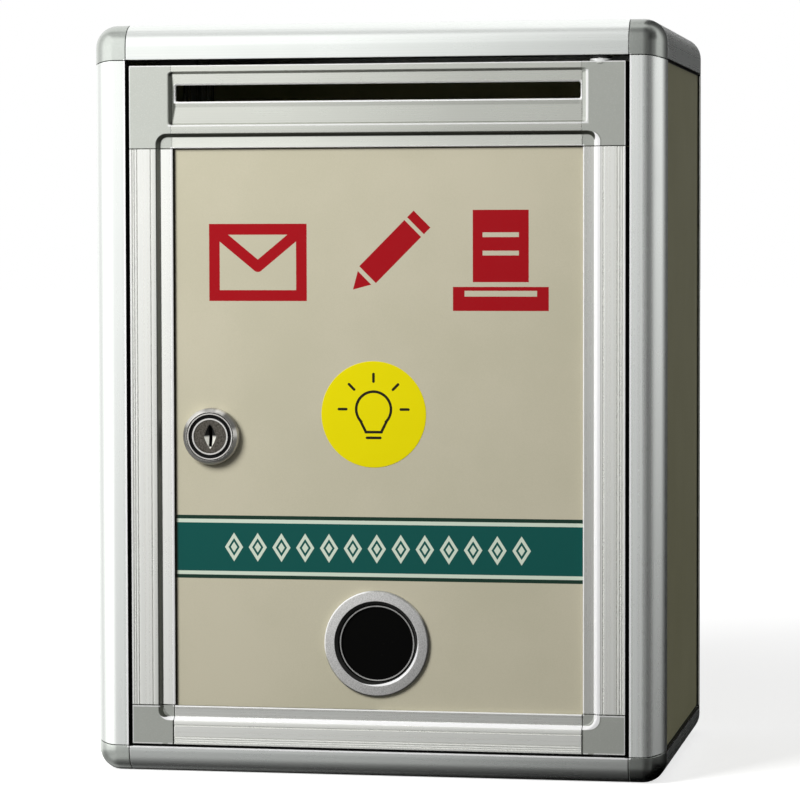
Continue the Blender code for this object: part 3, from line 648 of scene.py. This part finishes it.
def printedMarks(x, z):
    # Three plain signs in red: a letter, a pencil and a sheet that drops into a slot.
    z = z - marks["height"]
    leftX, middleX, rightX = [x - middle for middle in marks["middles"]]
    halfWidth, halfHeight = marks["letter"]
    letter = abs(boxDistance(leftX, z, halfWidth, 0, halfHeight)).least(
        strokeDistance(abs(leftX), z, *marks["flap"])) - marks["stroke"]
    turn = math.sqrt(0.5)
    along = (middleX + z) * turn
    across = abs((z - middleX) * turn)
    body = boxDistance(across, along, marks["pencil"], *marks["body"])
    cap = boxDistance(across, along, marks["pencil"], *marks["cap"])
    tip, foot, slope, fall = marks["lead"]
    lead = (across * slope + (tip - along) * fall).most(along - foot)
    sheet = boxDistance(rightX, z, *marks["sheet"])
    halfWidth, middle, off, halfHeight = marks["lines"]
    lines = boxDistance(rightX, abs(z - middle), halfWidth, off, halfHeight)
    slot = boxDistance(rightX, z, *marks["slot"])
    mouth = boxDistance(rightX, z, *marks["mouth"])
    drop = sheet.most(-lines).least(slot).most(-mouth)
    return letter.least(body).least(lead).least(cap).least(drop).under(0.0, marks["soft"])


doorPrint = {
    "soft": 0.00007,
    "face": (-0.0702, -0.0705),
    "shadeLeft": (0.0020, 0.0006),  # the frame's shadow on the sheet, from its left edge and its top
    "shadeTop": (-0.0009, -0.0003),
    "shade": (0.030, 0.022, 0.012, 1),
    "share": 0.97,
    "ink": 0.06,  # how much smoother ink is than the paint
}


def printedDoor():
    # The door's sheet: the same powder coat, with the printed band and the red signs on its face.
    finish = newFinish("printed_door_sheet")
    x, y, z = finish.axes()
    soft, line, bottom, top = doorPrint["soft"], band["line"], band["bottom"], band["top"]
    face = y.fade(*doorPrint["face"])
    inBand, inCream, inTeal = [z.between(bottom + inset, top - inset, soft) for inset in (0, line, 2 * line)]
    step = (x / band["pitch"] + 0.5).sum("FRACT") - 0.5
    halfHeight, halfWidth = band["lozenge"]
    lozenge = abs(step) * band["pitch"] / halfWidth + abs(z - (bottom + top) / 2) / halfHeight
    row = abs(x).under(band["reach"], soft)
    inLozenge = lozenge.under(1.0, 0.03) * (1 - lozenge.between(*band["ring"])) * row
    # the frame's painted shadow along the sheet's left and top edges
    shadow = (x + shoulder["half"]).fade(*doorPrint["shadeLeft"]).most(
        (z - shoulder["top"]).fade(*doorPrint["shadeTop"]))
    colour = paintedColour(finish, "door")
    signs = printedMarks(x, z)
    prints = ((inBand, "dark"), (inCream, "cream"), (inTeal, "teal"), (inTeal * inLozenge, "cream"),
              (signs, "red"))
    for printed, name in prints:
        colour = finish.blend(printed * face, colour, inks[name])
    ink = (inBand + signs * face).least(1.0)
    return finish.surface(
        Base_Color=finish.blend(shadow * shadow * doorPrint["share"], colour, doorPrint["shade"]),
        Roughness=paintedRoughness(finish) - ink * doorPrint["ink"],
        Specular_IOR_Level=0.25,
        Normal=paintedRelief(finish))


moulding = {
    "tones": ((0.010, 0.010, 0.010, 1), (0.028, 0.028, 0.027, 1)),
    "grain": 1500.0,
    "roughness": (0.52, 0.25),  # level and unevenness
    "relief": (0.00003, 0.5, 0.0002),  # depth, strength and radius of its edges
}


def blackPlastic():
    # Black moulded pieces with a matt grain.
    finish = newFinish("black_moulded_plastic")
    grain = finish.noise(moulding["grain"], 4.0)
    return finish.surface(
        Base_Color=finish.blend(grain, *moulding["tones"]),
        Roughness=grain.about(*moulding["roughness"]),
        Specular_IOR_Level=0.25,
        Normal=finish.relief(grain, *moulding["relief"]))


zinc = {
    "tones": ((0.50, 0.51, 0.50, 1), (0.68, 0.70, 0.72, 1)),
    "cloud": 260.0,
    "turning": 3000.0,
    "contrast": (0.3, 0.7),
    "roughness": (0.30, 0.2),
    "relief": (0.00001, 0.5, 0.0002),
}


def zincPlate():
    # Zinc-plated steel: a faint bluish cloud and fine turning marks.
    finish = newFinish("zinc_plated_steel")
    cloud = finish.noise(zinc["cloud"], 4.0)
    return finish.surface(
        Base_Color=finish.blend(cloud.fade(*zinc["contrast"]), *zinc["tones"]),
        Metallic=1.0,
        Roughness=cloud.about(*zinc["roughness"]),
        Normal=finish.relief(finish.noise(zinc["turning"], 2.0), *zinc["relief"]))


lock = {
    "middle": (-0.0648, 0.1316),
    "face": -0.0755,
    "chrome": ((0.60, 0.585, 0.55, 1), (0.78, 0.77, 0.74, 1)),
    "black": (0.006, 0.006, 0.006, 1),
    "groove": (0.00935, 0.00925),  # radius where the groove's painted black shade starts, and its depth
    "grooveDepth": (0.00035, 0.00055),
    "bead": (0.00945, 0.00960),  # radius where the bead with painted reflections starts
    "lights": (  # the bead's painted reflections on its way round: degrees from its right end and level
        (-180, 0.30), (-150, 0.50), (-90, 0.62), (-40, 0.70), (-24, 0.90), (14, 0.90), (22, 0.30), (54, 0.34),
        (61, 1.15), (74, 1.15), (80, 0.62), (100, 0.68), (108, 1.25), (148, 1.25), (162, 0.40), (180, 0.30)),
    "scratch": (900, 900, 2600),
    "stain": 420.0,
    "relief": 0.000002,
    "edge": 0.00022,
}

plug = {
    "rim": (0.74, 0.73, 0.70, 1),
    "dull": ((0.070, 0.063, 0.052, 1), (0.20, 0.185, 0.16, 1)),
    "bright": (0.95, 0.94, 0.86, 1),
    "black": (0.004, 0.004, 0.004, 1),
    "face": (0.00655, 0.00645),  # radius of the dull face
    "bowl": (0.00075, 0.00085),  # depths of the bowl and of the key slot
    "slot": (0.00208, 0.00214),
    "upper": 0.0006,  # half the run to the bowl's upper half, which is painted black as shade
    "grain": 1700.0,
    "contrast": (0.3, 0.7),
    "relief": 0.00006,
    "edge": 0.00012,
}


def plane(finish, middle):
    # Distance from an axis along Y, y itself, and the place across and up from the axis.
    x, y, z = finish.axes()
    across, up = x - middle[0], z - middle[1]
    return length(across, up), y, across, up


def lockChrome():
    # Bright chrome with painted black shade in the groove round the plug, and painted reflections round its
    # bead.
    finish = newFinish("lock_chrome")
    radius, y, across, up = plane(finish, lock["middle"])
    black = radius.fade(*lock["groove"]) * (y - lock["face"]).fade(*lock["grooveDepth"])
    scratch = finish.streaks(lock["scratch"], 4.0)
    stain = finish.noise(lock["stain"], 4.0)
    # painted reflections round the bead
    level = stepped(finish, up.sum("ARCTAN2", across) * math.degrees(1), lock["lights"], -180, 180)
    bead = radius.fade(*lock["bead"])
    colour = finish.blend(stain, *lock["chrome"])
    colour = finish.shaded(colour, level * bead + 1 - bead)
    return finish.surface(
        Base_Color=finish.blend(black, colour, lock["black"]),
        Metallic=(1 - black) * (1 - bead * 0.5),
        Specular_IOR_Level=0.2,
        Roughness=0.15 + scratch.fade(0.55, 0.8) * 0.06 + black * 0.45,
        Normal=finish.relief(scratch, lock["relief"], 0.4, lock["edge"]))


def plugMetal():
    # The plug: a bright rim, a dull grained face, a painted highlight in the bowl round the key slot, and
    # painted black shade in the slot and the bowl's upper half.
    finish = newFinish("lock_plug_metal")
    radius, y, _, up = plane(finish, lock["middle"])
    depth = y - lock["face"]
    face = radius.fade(*plug["face"])
    bowl = depth.fade(*plug["bowl"])
    # painted black shade in the key slot and the bowl's upper half
    slot = depth.fade(*plug["slot"]).most(bowl * up.over(0.0, plug["upper"]))
    grain = finish.noise(plug["grain"], 5.0, 0.65)
    dull = finish.blend(grain.fade(*plug["contrast"]), *plug["dull"])
    colour = finish.blend(face, plug["rim"], dull)
    # the bowl's painted highlight
    colour = finish.blend(bowl, colour, plug["bright"])
    onFace = face * (1 - bowl)
    return finish.surface(
        Base_Color=finish.blend(slot, colour, plug["black"]),
        Metallic=(1 - slot) * (1 - bowl * 0.75),
        Roughness=0.16 + onFace * (0.24 + grain * 0.14) + slot * 0.4,
        Normal=finish.relief(grain * onFace, plug["relief"], 0.7, plug["edge"]))


window = {
    "middle": (0.0, 0.0520),
    "tones": ((0.50, 0.50, 0.48, 1), (0.78, 0.77, 0.76, 1)),
    "contrast": (0.3, 0.7),
    "grain": 2300.0,
    "turning": (5200.0, 900.0),  # lines round it: how close in radius and in depth
    "soft": 0.00005,
    "away": (0.64, -0.77),  # the way that its unlit parts face, across and up
    "toward": (0.82, -0.57),  # and the one that the rim's bright part faces away from
    "bevel": (0.0165, 0.0164),  # outer radius of the bevel round the pane, painted black as shade
    "crescent": (0.01635, 0.0008, (0.45, 1.0)),  # its painted lit part: inner radius, how far it widens and where
    "crescentEnd": (-0.30, -0.10),  # where that stops being black, and where it is white
    "crescentLit": (-0.30, 0.30),
    "crescentFace": (-0.0709, -0.0711),
    "trim": (0.01438, 0.00026, 0.00018),  # middle and half width of the trim ring's face
    # painted light on the trim ring's face: least level, more toward the lower right, and where
    "trimLight": (0.6, 0.4, (0.2, 0.9)),
    "rim": 0.0200,  # where the collar's outer edge begins to turn
    # painted light and shade on the collar's outer edge
    "rimLit": (-0.55, -0.80),
    "rimShade": (0.0, 0.35),
    "crown": 1.4,  # how far the flange is domed, as height over radius squared
    "relief": 0.00001,
    "edge": 0.00022,
}


def windowMetal():
    # The window's collar: fine turned lines round its flange, painted black shade on its bevel with a painted
    # lit crescent, and painted light and shade on its trim ring and outer rim.
    finish = newFinish("window_collar_metal")
    radius, y, across, up = plane(finish, window["middle"])
    inRadius, inDepth = window["turning"]
    grain = finish.noise(window["grain"], 3.0, 0.6)
    place = finish.node("CombineXYZ", sockets={0: radius * inRadius, 1: y * inDepth})
    turning = finish.noise(1.0, 3.0, vector=place)
    lines = grain * 0.7 + turning * 0.3
    facing, ahead = [(across * right + up * above) / radius
                     for right, above in (window["away"], window["toward"])]
    # painted black shade on the bevel, with a painted lit crescent
    bevel = radius.fade(*window["bevel"])
    start, widens, where = window["crescent"]
    crescent = (radius - (facing.fade(*where) * -widens + start)).over(0.0, window["soft"])
    black = bevel * (1 - crescent * facing.fade(*window["crescentEnd"]) * y.fade(*window["crescentFace"]))
    middle, none, full = window["trim"]
    low, more, where = window["trimLight"]
    # painted light on the trim ring's face
    black = black * (1 - abs(radius - middle).fade(none, full) * (facing.fade(*where) * more + low))
    # painted light and shade on the collar's outer edge
    rim = radius.over(window["rim"], window["soft"])
    lit = crescent * bevel * facing.fade(*window["crescentLit"])
    lit = lit.most(rim * ahead.fade(*window["rimLit"])) * (1 - black)
    black = black.most(rim * facing.fade(*window["rimShade"]) * 0.8)
    colour = finish.blend(lines.fade(*window["contrast"]), *window["tones"])
    colour = finish.blend(lit, colour, white)
    crown = finish.relief(radius * radius * -window["crown"], 1.0, 1.0, window["edge"])
    return finish.surface(
        Base_Color=finish.blend(black, colour, gap["black"]),
        Metallic=(1 - black) * (1 - lit * 0.9),
        Roughness=lines.about(0.34, 0.2) + black * 0.4,
        Normal=finish.relief(lines, window["relief"], 0.5, normal=crown))


pane = {
    "tones": ((0.0022, 0.0022, 0.0020, 1), (0.03, 0.03, 0.028, 1)),  # clean and dusty
    "dust": (900.0, 5.0, 0.7),
    "relief": (0.000004, 0.3, 0.0002),
}


def darkPane():
    # The window's pane, painted near black for the dark inside seen through it, with a trace of dust.
    finish = newFinish("dark_acrylic_pane")
    dust = finish.noise(*pane["dust"])
    return finish.surface(
        Base_Color=finish.blend(dust.fade(0.62, 0.8) * 0.3, *pane["tones"]),
        Roughness=0.10 + dust.fade(0.5, 0.8) * 0.12,
        Specular_IOR_Level=0.04,
        Normal=finish.relief(dust, *pane["relief"]))


sticker = {
    "middle": (-0.0011, 0.1404),
    "radius": 0.0205,
    "thickness": 0.00014,
    "seat": -0.0707,  # the door sheet's face
    "rings": 14,  # in its rounded edge, and in the flat part
    "flat": 5,
    "steps": 160,
    "yellow": (tone(238, 224, 4), tone(226, 211, 2)),
    "ink": tone(24, 22, 10),
    "stroke": 0.00052,  # half the width of a line
    "soft": 0.00007,
    "bulb": 0.0020,  # the bulb's middle, above the label's, and its radius
    "ball": 0.0068,
    "cut": -0.0042,  # where its round part ends
    "lines": (((0.0052, -0.0024), (0.0030, -0.0068)), ((0, -0.0068), (0.0031, -0.0068)),
              ((0, -0.0090), (0.0026, -0.0090))),  # its neck, foot and base
    "rays": (((0.0076, 0.0076), (0.0096, 0.0096)), ((0.0107, 0), (0.0136, 0)), ((0, 0.0107), (0, 0.0136))),
}


def meshObject(name, points, faces, material):
    mesh = bpy.data.meshes.new(name)
    mesh.from_pydata(points.tolist(), [], faces)
    mesh.materials.append(material)
    return added(name, mesh)


def meshPiece(name, points, faces, material, body, angle=40):
    # Faces that meet at more than this angle, in degrees, keep a sharp edge.
    piece = meshObject(name, points, faces, material)
    piece.data.shade_smooth()
    piece.data.set_sharp_from_angle(angle=math.radians(angle))
    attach(piece, body)
    return piece


def labelVinyl():
    # Yellow vinyl with a thin black sign of a bulb.
    finish = newFinish("yellow_vinyl")
    x, _, z = finish.axes()
    u = x - sticker["middle"][0]
    v = z - sticker["middle"][1]
    up = v - sticker["bulb"]
    sign = abs(length(u, up) - sticker["ball"]).most(sticker["cut"] - up)
    for line in sticker["lines"]:
        sign = sign.least(strokeDistance(abs(u), v, *line))
    for ray in sticker["rays"]:
        sign = sign.least(strokeDistance(abs(u), up, *ray))
    sign = (sign - sticker["stroke"]).under(0.0, sticker["soft"])
    cloud = finish.noise(70.0, 3.0)
    colour = finish.blend((cloud - 0.35) * 0.4, *sticker["yellow"])
    return finish.surface(
        Base_Color=finish.blend(sign, colour, sticker["ink"]),
        Roughness=cloud.about(0.36, 0.10),
        Specular_IOR_Level=0.2,
        Normal=finish.relief(finish.noise(500.0, 2.0), 0.00001, 0.3))


def ringGrid(count, steps):
    # Numbers of points on rings round an axis, and of those beside them.
    grid = np.arange(count * steps).reshape(count, steps)
    return grid, np.roll(grid, -1, 1)


def makeLabel():
    # A thin disc whose edge is rounded: near it the height falls off as a quarter circle.
    turn = np.linspace(0, 1, sticker["rings"]) * np.pi / 2
    thick, full, flat, steps = [sticker[name] for name in ("thickness", "radius", "flat", "steps")]
    level = np.linspace(0.2, 0.9, flat) * full
    radii = np.concatenate([level, full - thick * (1 - np.sin(turn)), [full]])[:, None]
    heights = np.concatenate([np.full(flat, thick), thick * np.cos(turn) * 0.7 + thick * 0.3, [0]])[:, None]
    (across, up), seat = sticker["middle"], sticker["seat"]
    turns = np.linspace(0, 2 * np.pi, steps, endpoint=False)
    depths = np.repeat(seat - heights, steps, 1)
    rings = np.stack([across + radii * np.sin(turns), depths, up + radii * np.cos(turns)], 2)
    points = np.concatenate([rings.reshape(-1, 3), [[across, seat - thick, up], [across, seat, up]]])
    grid, beside = ringGrid(len(radii), steps)
    quads = np.stack([grid[:-1], beside[:-1], beside[1:], grid[1:]], 2).reshape(-1, 4)
    front = np.stack([np.full(steps, grid.size), beside[0], grid[0]], 1)
    back = np.stack([np.full(steps, grid.size + 1), grid[-1], beside[-1]], 1)
    meshPiece("round_label", points, quads.tolist() + front.tolist() + back.tolist(), labelVinyl(), "door")


seams = {
    "front": 0.1028,  # where the case's rounding starts, across and toward the front or rear
    "round": 0.0087,
    "side": 0.1105,  # and where its side and its front or rear face lie
    "face": 0.0699,
    "drop": 0.0016,  # how far a case corner's seam drops on its way round to the side
    "ends": (0.0105, 0.2771),
    "near": 0.0004,
    "boss": (0.2748, -0.0740),  # over this height the hinge boss stays behind this depth
}

anywhere = (-1, 1)

moves = (  # start of a name, where its points lie across, deep and up, and how far they go across
    ("door_corner_top", (0.08019, 0.08021), anywhere, anywhere, -0.00025),
    ("door_corner_top", (-0.08021, -0.08019), anywhere, anywhere, 0.00025),
    ("door_corner_top_right", (0.0803, 0.0820), (-1, -0.0739), (0.2515, 0.2726), 0.0009),
    ("door_stile_left", (-0.08021, -0.08019), (-1, -0.0706), anywhere, 0.0005),
    ("door_slot_rail", (0.0770, 0.0795), anywhere, anywhere, 0.0008),
)


def refined(name, points):
    # Small moves of a copy's points, along seams only. A case corner reaches farther along its side than
    # along its front, and the drop is smooth round the edge. The door's top corners close up to the slot
    # rail, and the slot and its recess reach farther to the right.
    x, y, z = points.T
    if name.startswith(("front_post", "rear_post", "corner_", "side_rail")):
        angle = np.arcsin(np.clip((abs(x) - seams["front"]) / seams["round"], 0, 1)) / (np.pi / 2)
        step = seams["drop"] * angle * angle * (3 - 2 * angle)
        outside = abs(x) > seams["side"]
        if "rail" not in name:
            outside |= (abs(y) > seams["face"]) & (abs(x) > seams["front"])
        for end, way in zip(seams["ends"], (1, -1)):
            moved = outside & (abs(z - end) < seams["near"])
            z[moved] += way * step[moved]
    for start, *box, move in moves:
        if name.startswith(start):
            inBox = [(place > low) & (place < high) for place, (low, high) in zip((x, y, z), box)]
            x[np.all(inBox, axis=0)] += move
    if name == "door_corner_top_right":
        height, depth = seams["boss"]
        y[(z > height) & (y < depth)] = depth


sharp = {"door_corner": 20, "": 30}  # degrees over which an edge stays sharp, by the start of a name


def smoothCopy(name, material):
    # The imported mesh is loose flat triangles. A copy with its corners merged lets round faces shade smoothly.
    packed = nodes[name].data
    corners = np.empty(len(packed.vertices) * 3)
    packed.vertices.foreach_get("co", corners)
    used = np.empty(len(packed.loops), int)
    packed.loops.foreach_get("vertex_index", used)
    points, merged = np.unique(corners.reshape(-1, 3).round(7), axis=0, return_inverse=True)
    refined(name, points)
    faces = merged.reshape(-1)[used].reshape(-1, 3)
    whole = (faces[:, 0] != faces[:, 1]) & (faces[:, 1] != faces[:, 2]) & (faces[:, 2] != faces[:, 0])
    angle = next(angle for start, angle in sharp.items() if name.startswith(start))
    body = nodes[name]["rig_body"]
    piece = meshPiece(f"{name}_finished", points, faces[whole].tolist(), material, body, angle)
    flats = piece.modifiers.new("flats", "WEIGHTED_NORMAL")
    flats.mode = "FACE_AREA_WITH_ANGLE"
    flats.keep_sharp = True
    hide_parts(name)


def dressNodes():
    # Each node's finish, by the start of its name. Smooth ones get a copy, and plain ones keep their mesh.
    case, door = [{along: anodisedExtrusion(along, part) for along in ways}
                  for part, ways in (("case", "zxy"), ("door", "zx"))]
    slot = anodisedExtrusion("x", "slot")
    caseCorner, doorCorner = silverPlastic("case"), silverPlastic("door")
    sheet, black, plated = paintedSheet(), blackPlastic(), zincPlate()
    smooth = {
        "front_post": case["z"], "rear_post": case["z"], "front_rail": case["x"], "rear_rail": case["x"],
        "side_rail": case["y"], "door_stile": door["z"], "door_rail": door["x"], "door_slot": slot,
        "corner": caseCorner, "door_corner": doorCorner, "window_bezel": windowMetal(),
        "window_trim": windowMetal(), "window_lens": darkPane(), "lock_housing": lockChrome(),
        "lock_plug": plugMetal()}
    plain = {
        "panel": sheet, "door_panel": printedDoor(), "pivot_bush": black, "door_stop": black,
        "window_retainer": black, "window_nut": black, "pivot_pin": plated, "lock_washer": plated,
        "lock_nut": plated, "lock_cam": plated}
    left = set(nodes)
    for start, material in (smooth | plain).items():
        for name in [name for name in nodes if name.startswith(start)]:
            if start in smooth:
                smoothCopy(name, material)
            else:
                nodes[name].data.materials[0] = material
            left.remove(name)
    print("dressed", len(nodes) - len(left), "nodes, left over:", sorted(left))


studio = {
    "fill": (0.06, 0.20, (-0.25, 0.05)),  # what matt surfaces get, from below and above
    "round": (  # what metal sees on its way round: azimuth in degrees and level
        (-180, 0.10), (-171, 0.55), (-160, 0.95), (-128, 1.05), (-116, 0.78), (-90, 0.80), (-78, 1.30),
        (-32, 1.38), (-22, 1.14), (-14, 1.32), (-11, 1.12), (-8, 0.84), (-2, 0.58), (6, 0.46), (13, 0.32),
        (21, 0.17), (38, 0.18), (52, 0.64), (62, 0.94), (104, 0.94), (120, 0.45), (132, 0.22), (150, 0.09),
        (180, 0.08)),
    "upward": (  # and from the floor to overhead
        (-90, 0.02), (-66, 0.05), (-52, 0.12), (-42, 0.34), (-30, 0.36), (-13, 0.28), (-9.5, 0.37),
        (-8, 0.355), (-6.5, 0.39), (-4, 0.60), (-2, 0.87), (3, 1.12), (20, 1.12), (40, 1.06), (90, 1.06)),
    "leftRise": (-18, -36, 11),  # between these azimuths the panels sink by this
    "rightFall": (44, 60, -15, 1),  # between these they end above the floor
    "strip": (50, 56, 74, 80, 110, 90, 0.47),  # a dim strip high in front: heights, ends and share
    "flag": (28, 36, 76, 84, 12, 20, 60, 68, 0.65),  # a dark cloth at the right: azimuths, heights, share
    "overhead": (74, 82, 1.1),
    "behind": (-150, -160, -7, 4, 1.1),  # seen at the far edges: where it starts, its rise and its level
}


def makeWorld():
    # The camera sees white. Metal sees the room's soft panels, and matt surfaces a low even light.
    world = bpy.data.worlds.new("studio")
    bpy.context.scene.world = world
    world.cycles.sampling_method = "NONE"
    room = Finish(world)
    direction = room.node("TexCoord", output="Generated")
    x, y, z = [Wire(room, output) for output in
               room.node("SeparateXYZ", sockets={0: direction}).socket.node.outputs]
    azimuth = room.node("Math", {"operation": "ARCTAN2"}, {0: x, 1: -y}) * math.degrees(1)
    height = z.sum("ARCSINE") * math.degrees(1)
    start, full, rise = studio["leftRise"]
    shine = stepped(room, azimuth, studio["round"], -180, 180) * stepped(
        room, height + azimuth.fade(start, full) * rise, studio["upward"], -90, 90)
    start, full, low, high = studio["rightFall"]
    shine = shine * (1 - azimuth.fade(start, full) * (1 - height.fade(low, high)))
    low, fullLow, fullHigh, high, end, fullEnd, share = studio["strip"]
    shine = shine * (1 - height.fade(low, fullLow) * height.fade(high, fullHigh) * abs(azimuth).fade(
        end, fullEnd) * share)
    left, fullLeft, fullRight, right, low, fullLow, fullHigh, high, share = studio["flag"]
    shine = shine * (1 - azimuth.fade(left, fullLeft) * azimuth.fade(right, fullRight) * height.fade(
        low, fullLow) * height.fade(high, fullHigh) * share)
    low, high, level = studio["overhead"]
    above = height.fade(low, high)
    shine = shine * (1 - above) + above * level
    start, end, low, high, level = studio["behind"]
    behind = azimuth.fade(start, end)
    shine = shine * (1 - behind) + behind * height.fade(low, high) * level
    seen, glossy = room.rays()
    below, over, run = studio["fill"]
    matt = z.fade(*run) * (over - below) + below
    level = glossy * shine + (1 - glossy) * matt
    light = room.node("Background", sockets={"Color": white, "Strength": seen + (1 - seen) * level})
    room.node("OutputWorld", sockets={"Surface": light})


keyLamp = {"place": (-0.36, -0.64, 0.50), "aim": (0, -0.07, 0.15), "size": 0.34, "power": 6.0}


def makeLamp():
    lamp = added("key", bpy.data.lights.new("key", "AREA"))
    lamp.data.shape = "SQUARE"
    lamp.data.size = keyLamp["size"]
    lamp.data.energy = keyLamp["power"]
    lamp.location = keyLamp["place"]
    lamp.visible_glossy = False  # its image is in the world, as metal sees it
    away = lamp.location.copy()
    away.xyz = [place - aim for place, aim in zip(keyLamp["place"], keyLamp["aim"])]
    lamp.rotation_euler = away.to_track_quat("Z", "Y").to_euler()


floor = {
    "radius": 12.0,
    "rings": 40,
    "steps": 64,
    "colour": (0.80, 0.80, 0.79, 1),
    "glow": 0.70,
    "near": (0.25, 0.9),  # from where to where it runs into the background
}


def makeFloor():
    # A round pale floor. Near the box it keeps the shadow, and farther out it runs into the white background.
    finish = newFinish("floor")
    x, y, _ = finish.axes()
    away = length(x, y).fade(*floor["near"])
    matt = finish.node("BsdfDiffuse", sockets={"Color": floor["colour"]})
    glow = finish.node("Emission",
                       sockets={"Color": white, "Strength": floor["glow"] + away * (1 - floor["glow"])})
    both = finish.node("AddShader", sockets={0: matt, 1: glow})
    seen, _ = finish.rays()
    either = finish.node("MixShader", sockets={0: seen, 1: matt, 2: both})
    finish.node("OutputMaterial", sockets={"Surface": either})
    distance = np.linspace(0, 1, floor["rings"])[1:, None] ** 2 * floor["radius"]
    turns = np.linspace(0, 2 * np.pi, floor["steps"], endpoint=False)
    ring = np.stack([distance * np.cos(turns), distance * np.sin(turns), distance * 0 * turns], 2)
    points = np.concatenate([ring.reshape(-1, 3), np.zeros((1, 3))])
    grid, beside = ringGrid(len(distance), floor["steps"])
    quads = np.stack([grid[:-1], grid[1:], beside[1:], beside[:-1]], 2).reshape(-1, 4)
    middle = np.stack([np.full(floor["steps"], grid.size), grid[0], beside[0]], 1)
    ground = meshObject("floor", points, quads.tolist() + middle.tolist(), finish.owner)
    ground.visible_glossy = False
    ground.visible_diffuse = False


makeCamera()
makeWorld()
makeLamp()
makeFloor()
print("camera, lamp and floor made")
dressNodes()
makeLabel()
print("label made")

bpy.context.scene.view_settings.view_transform = "Standard"
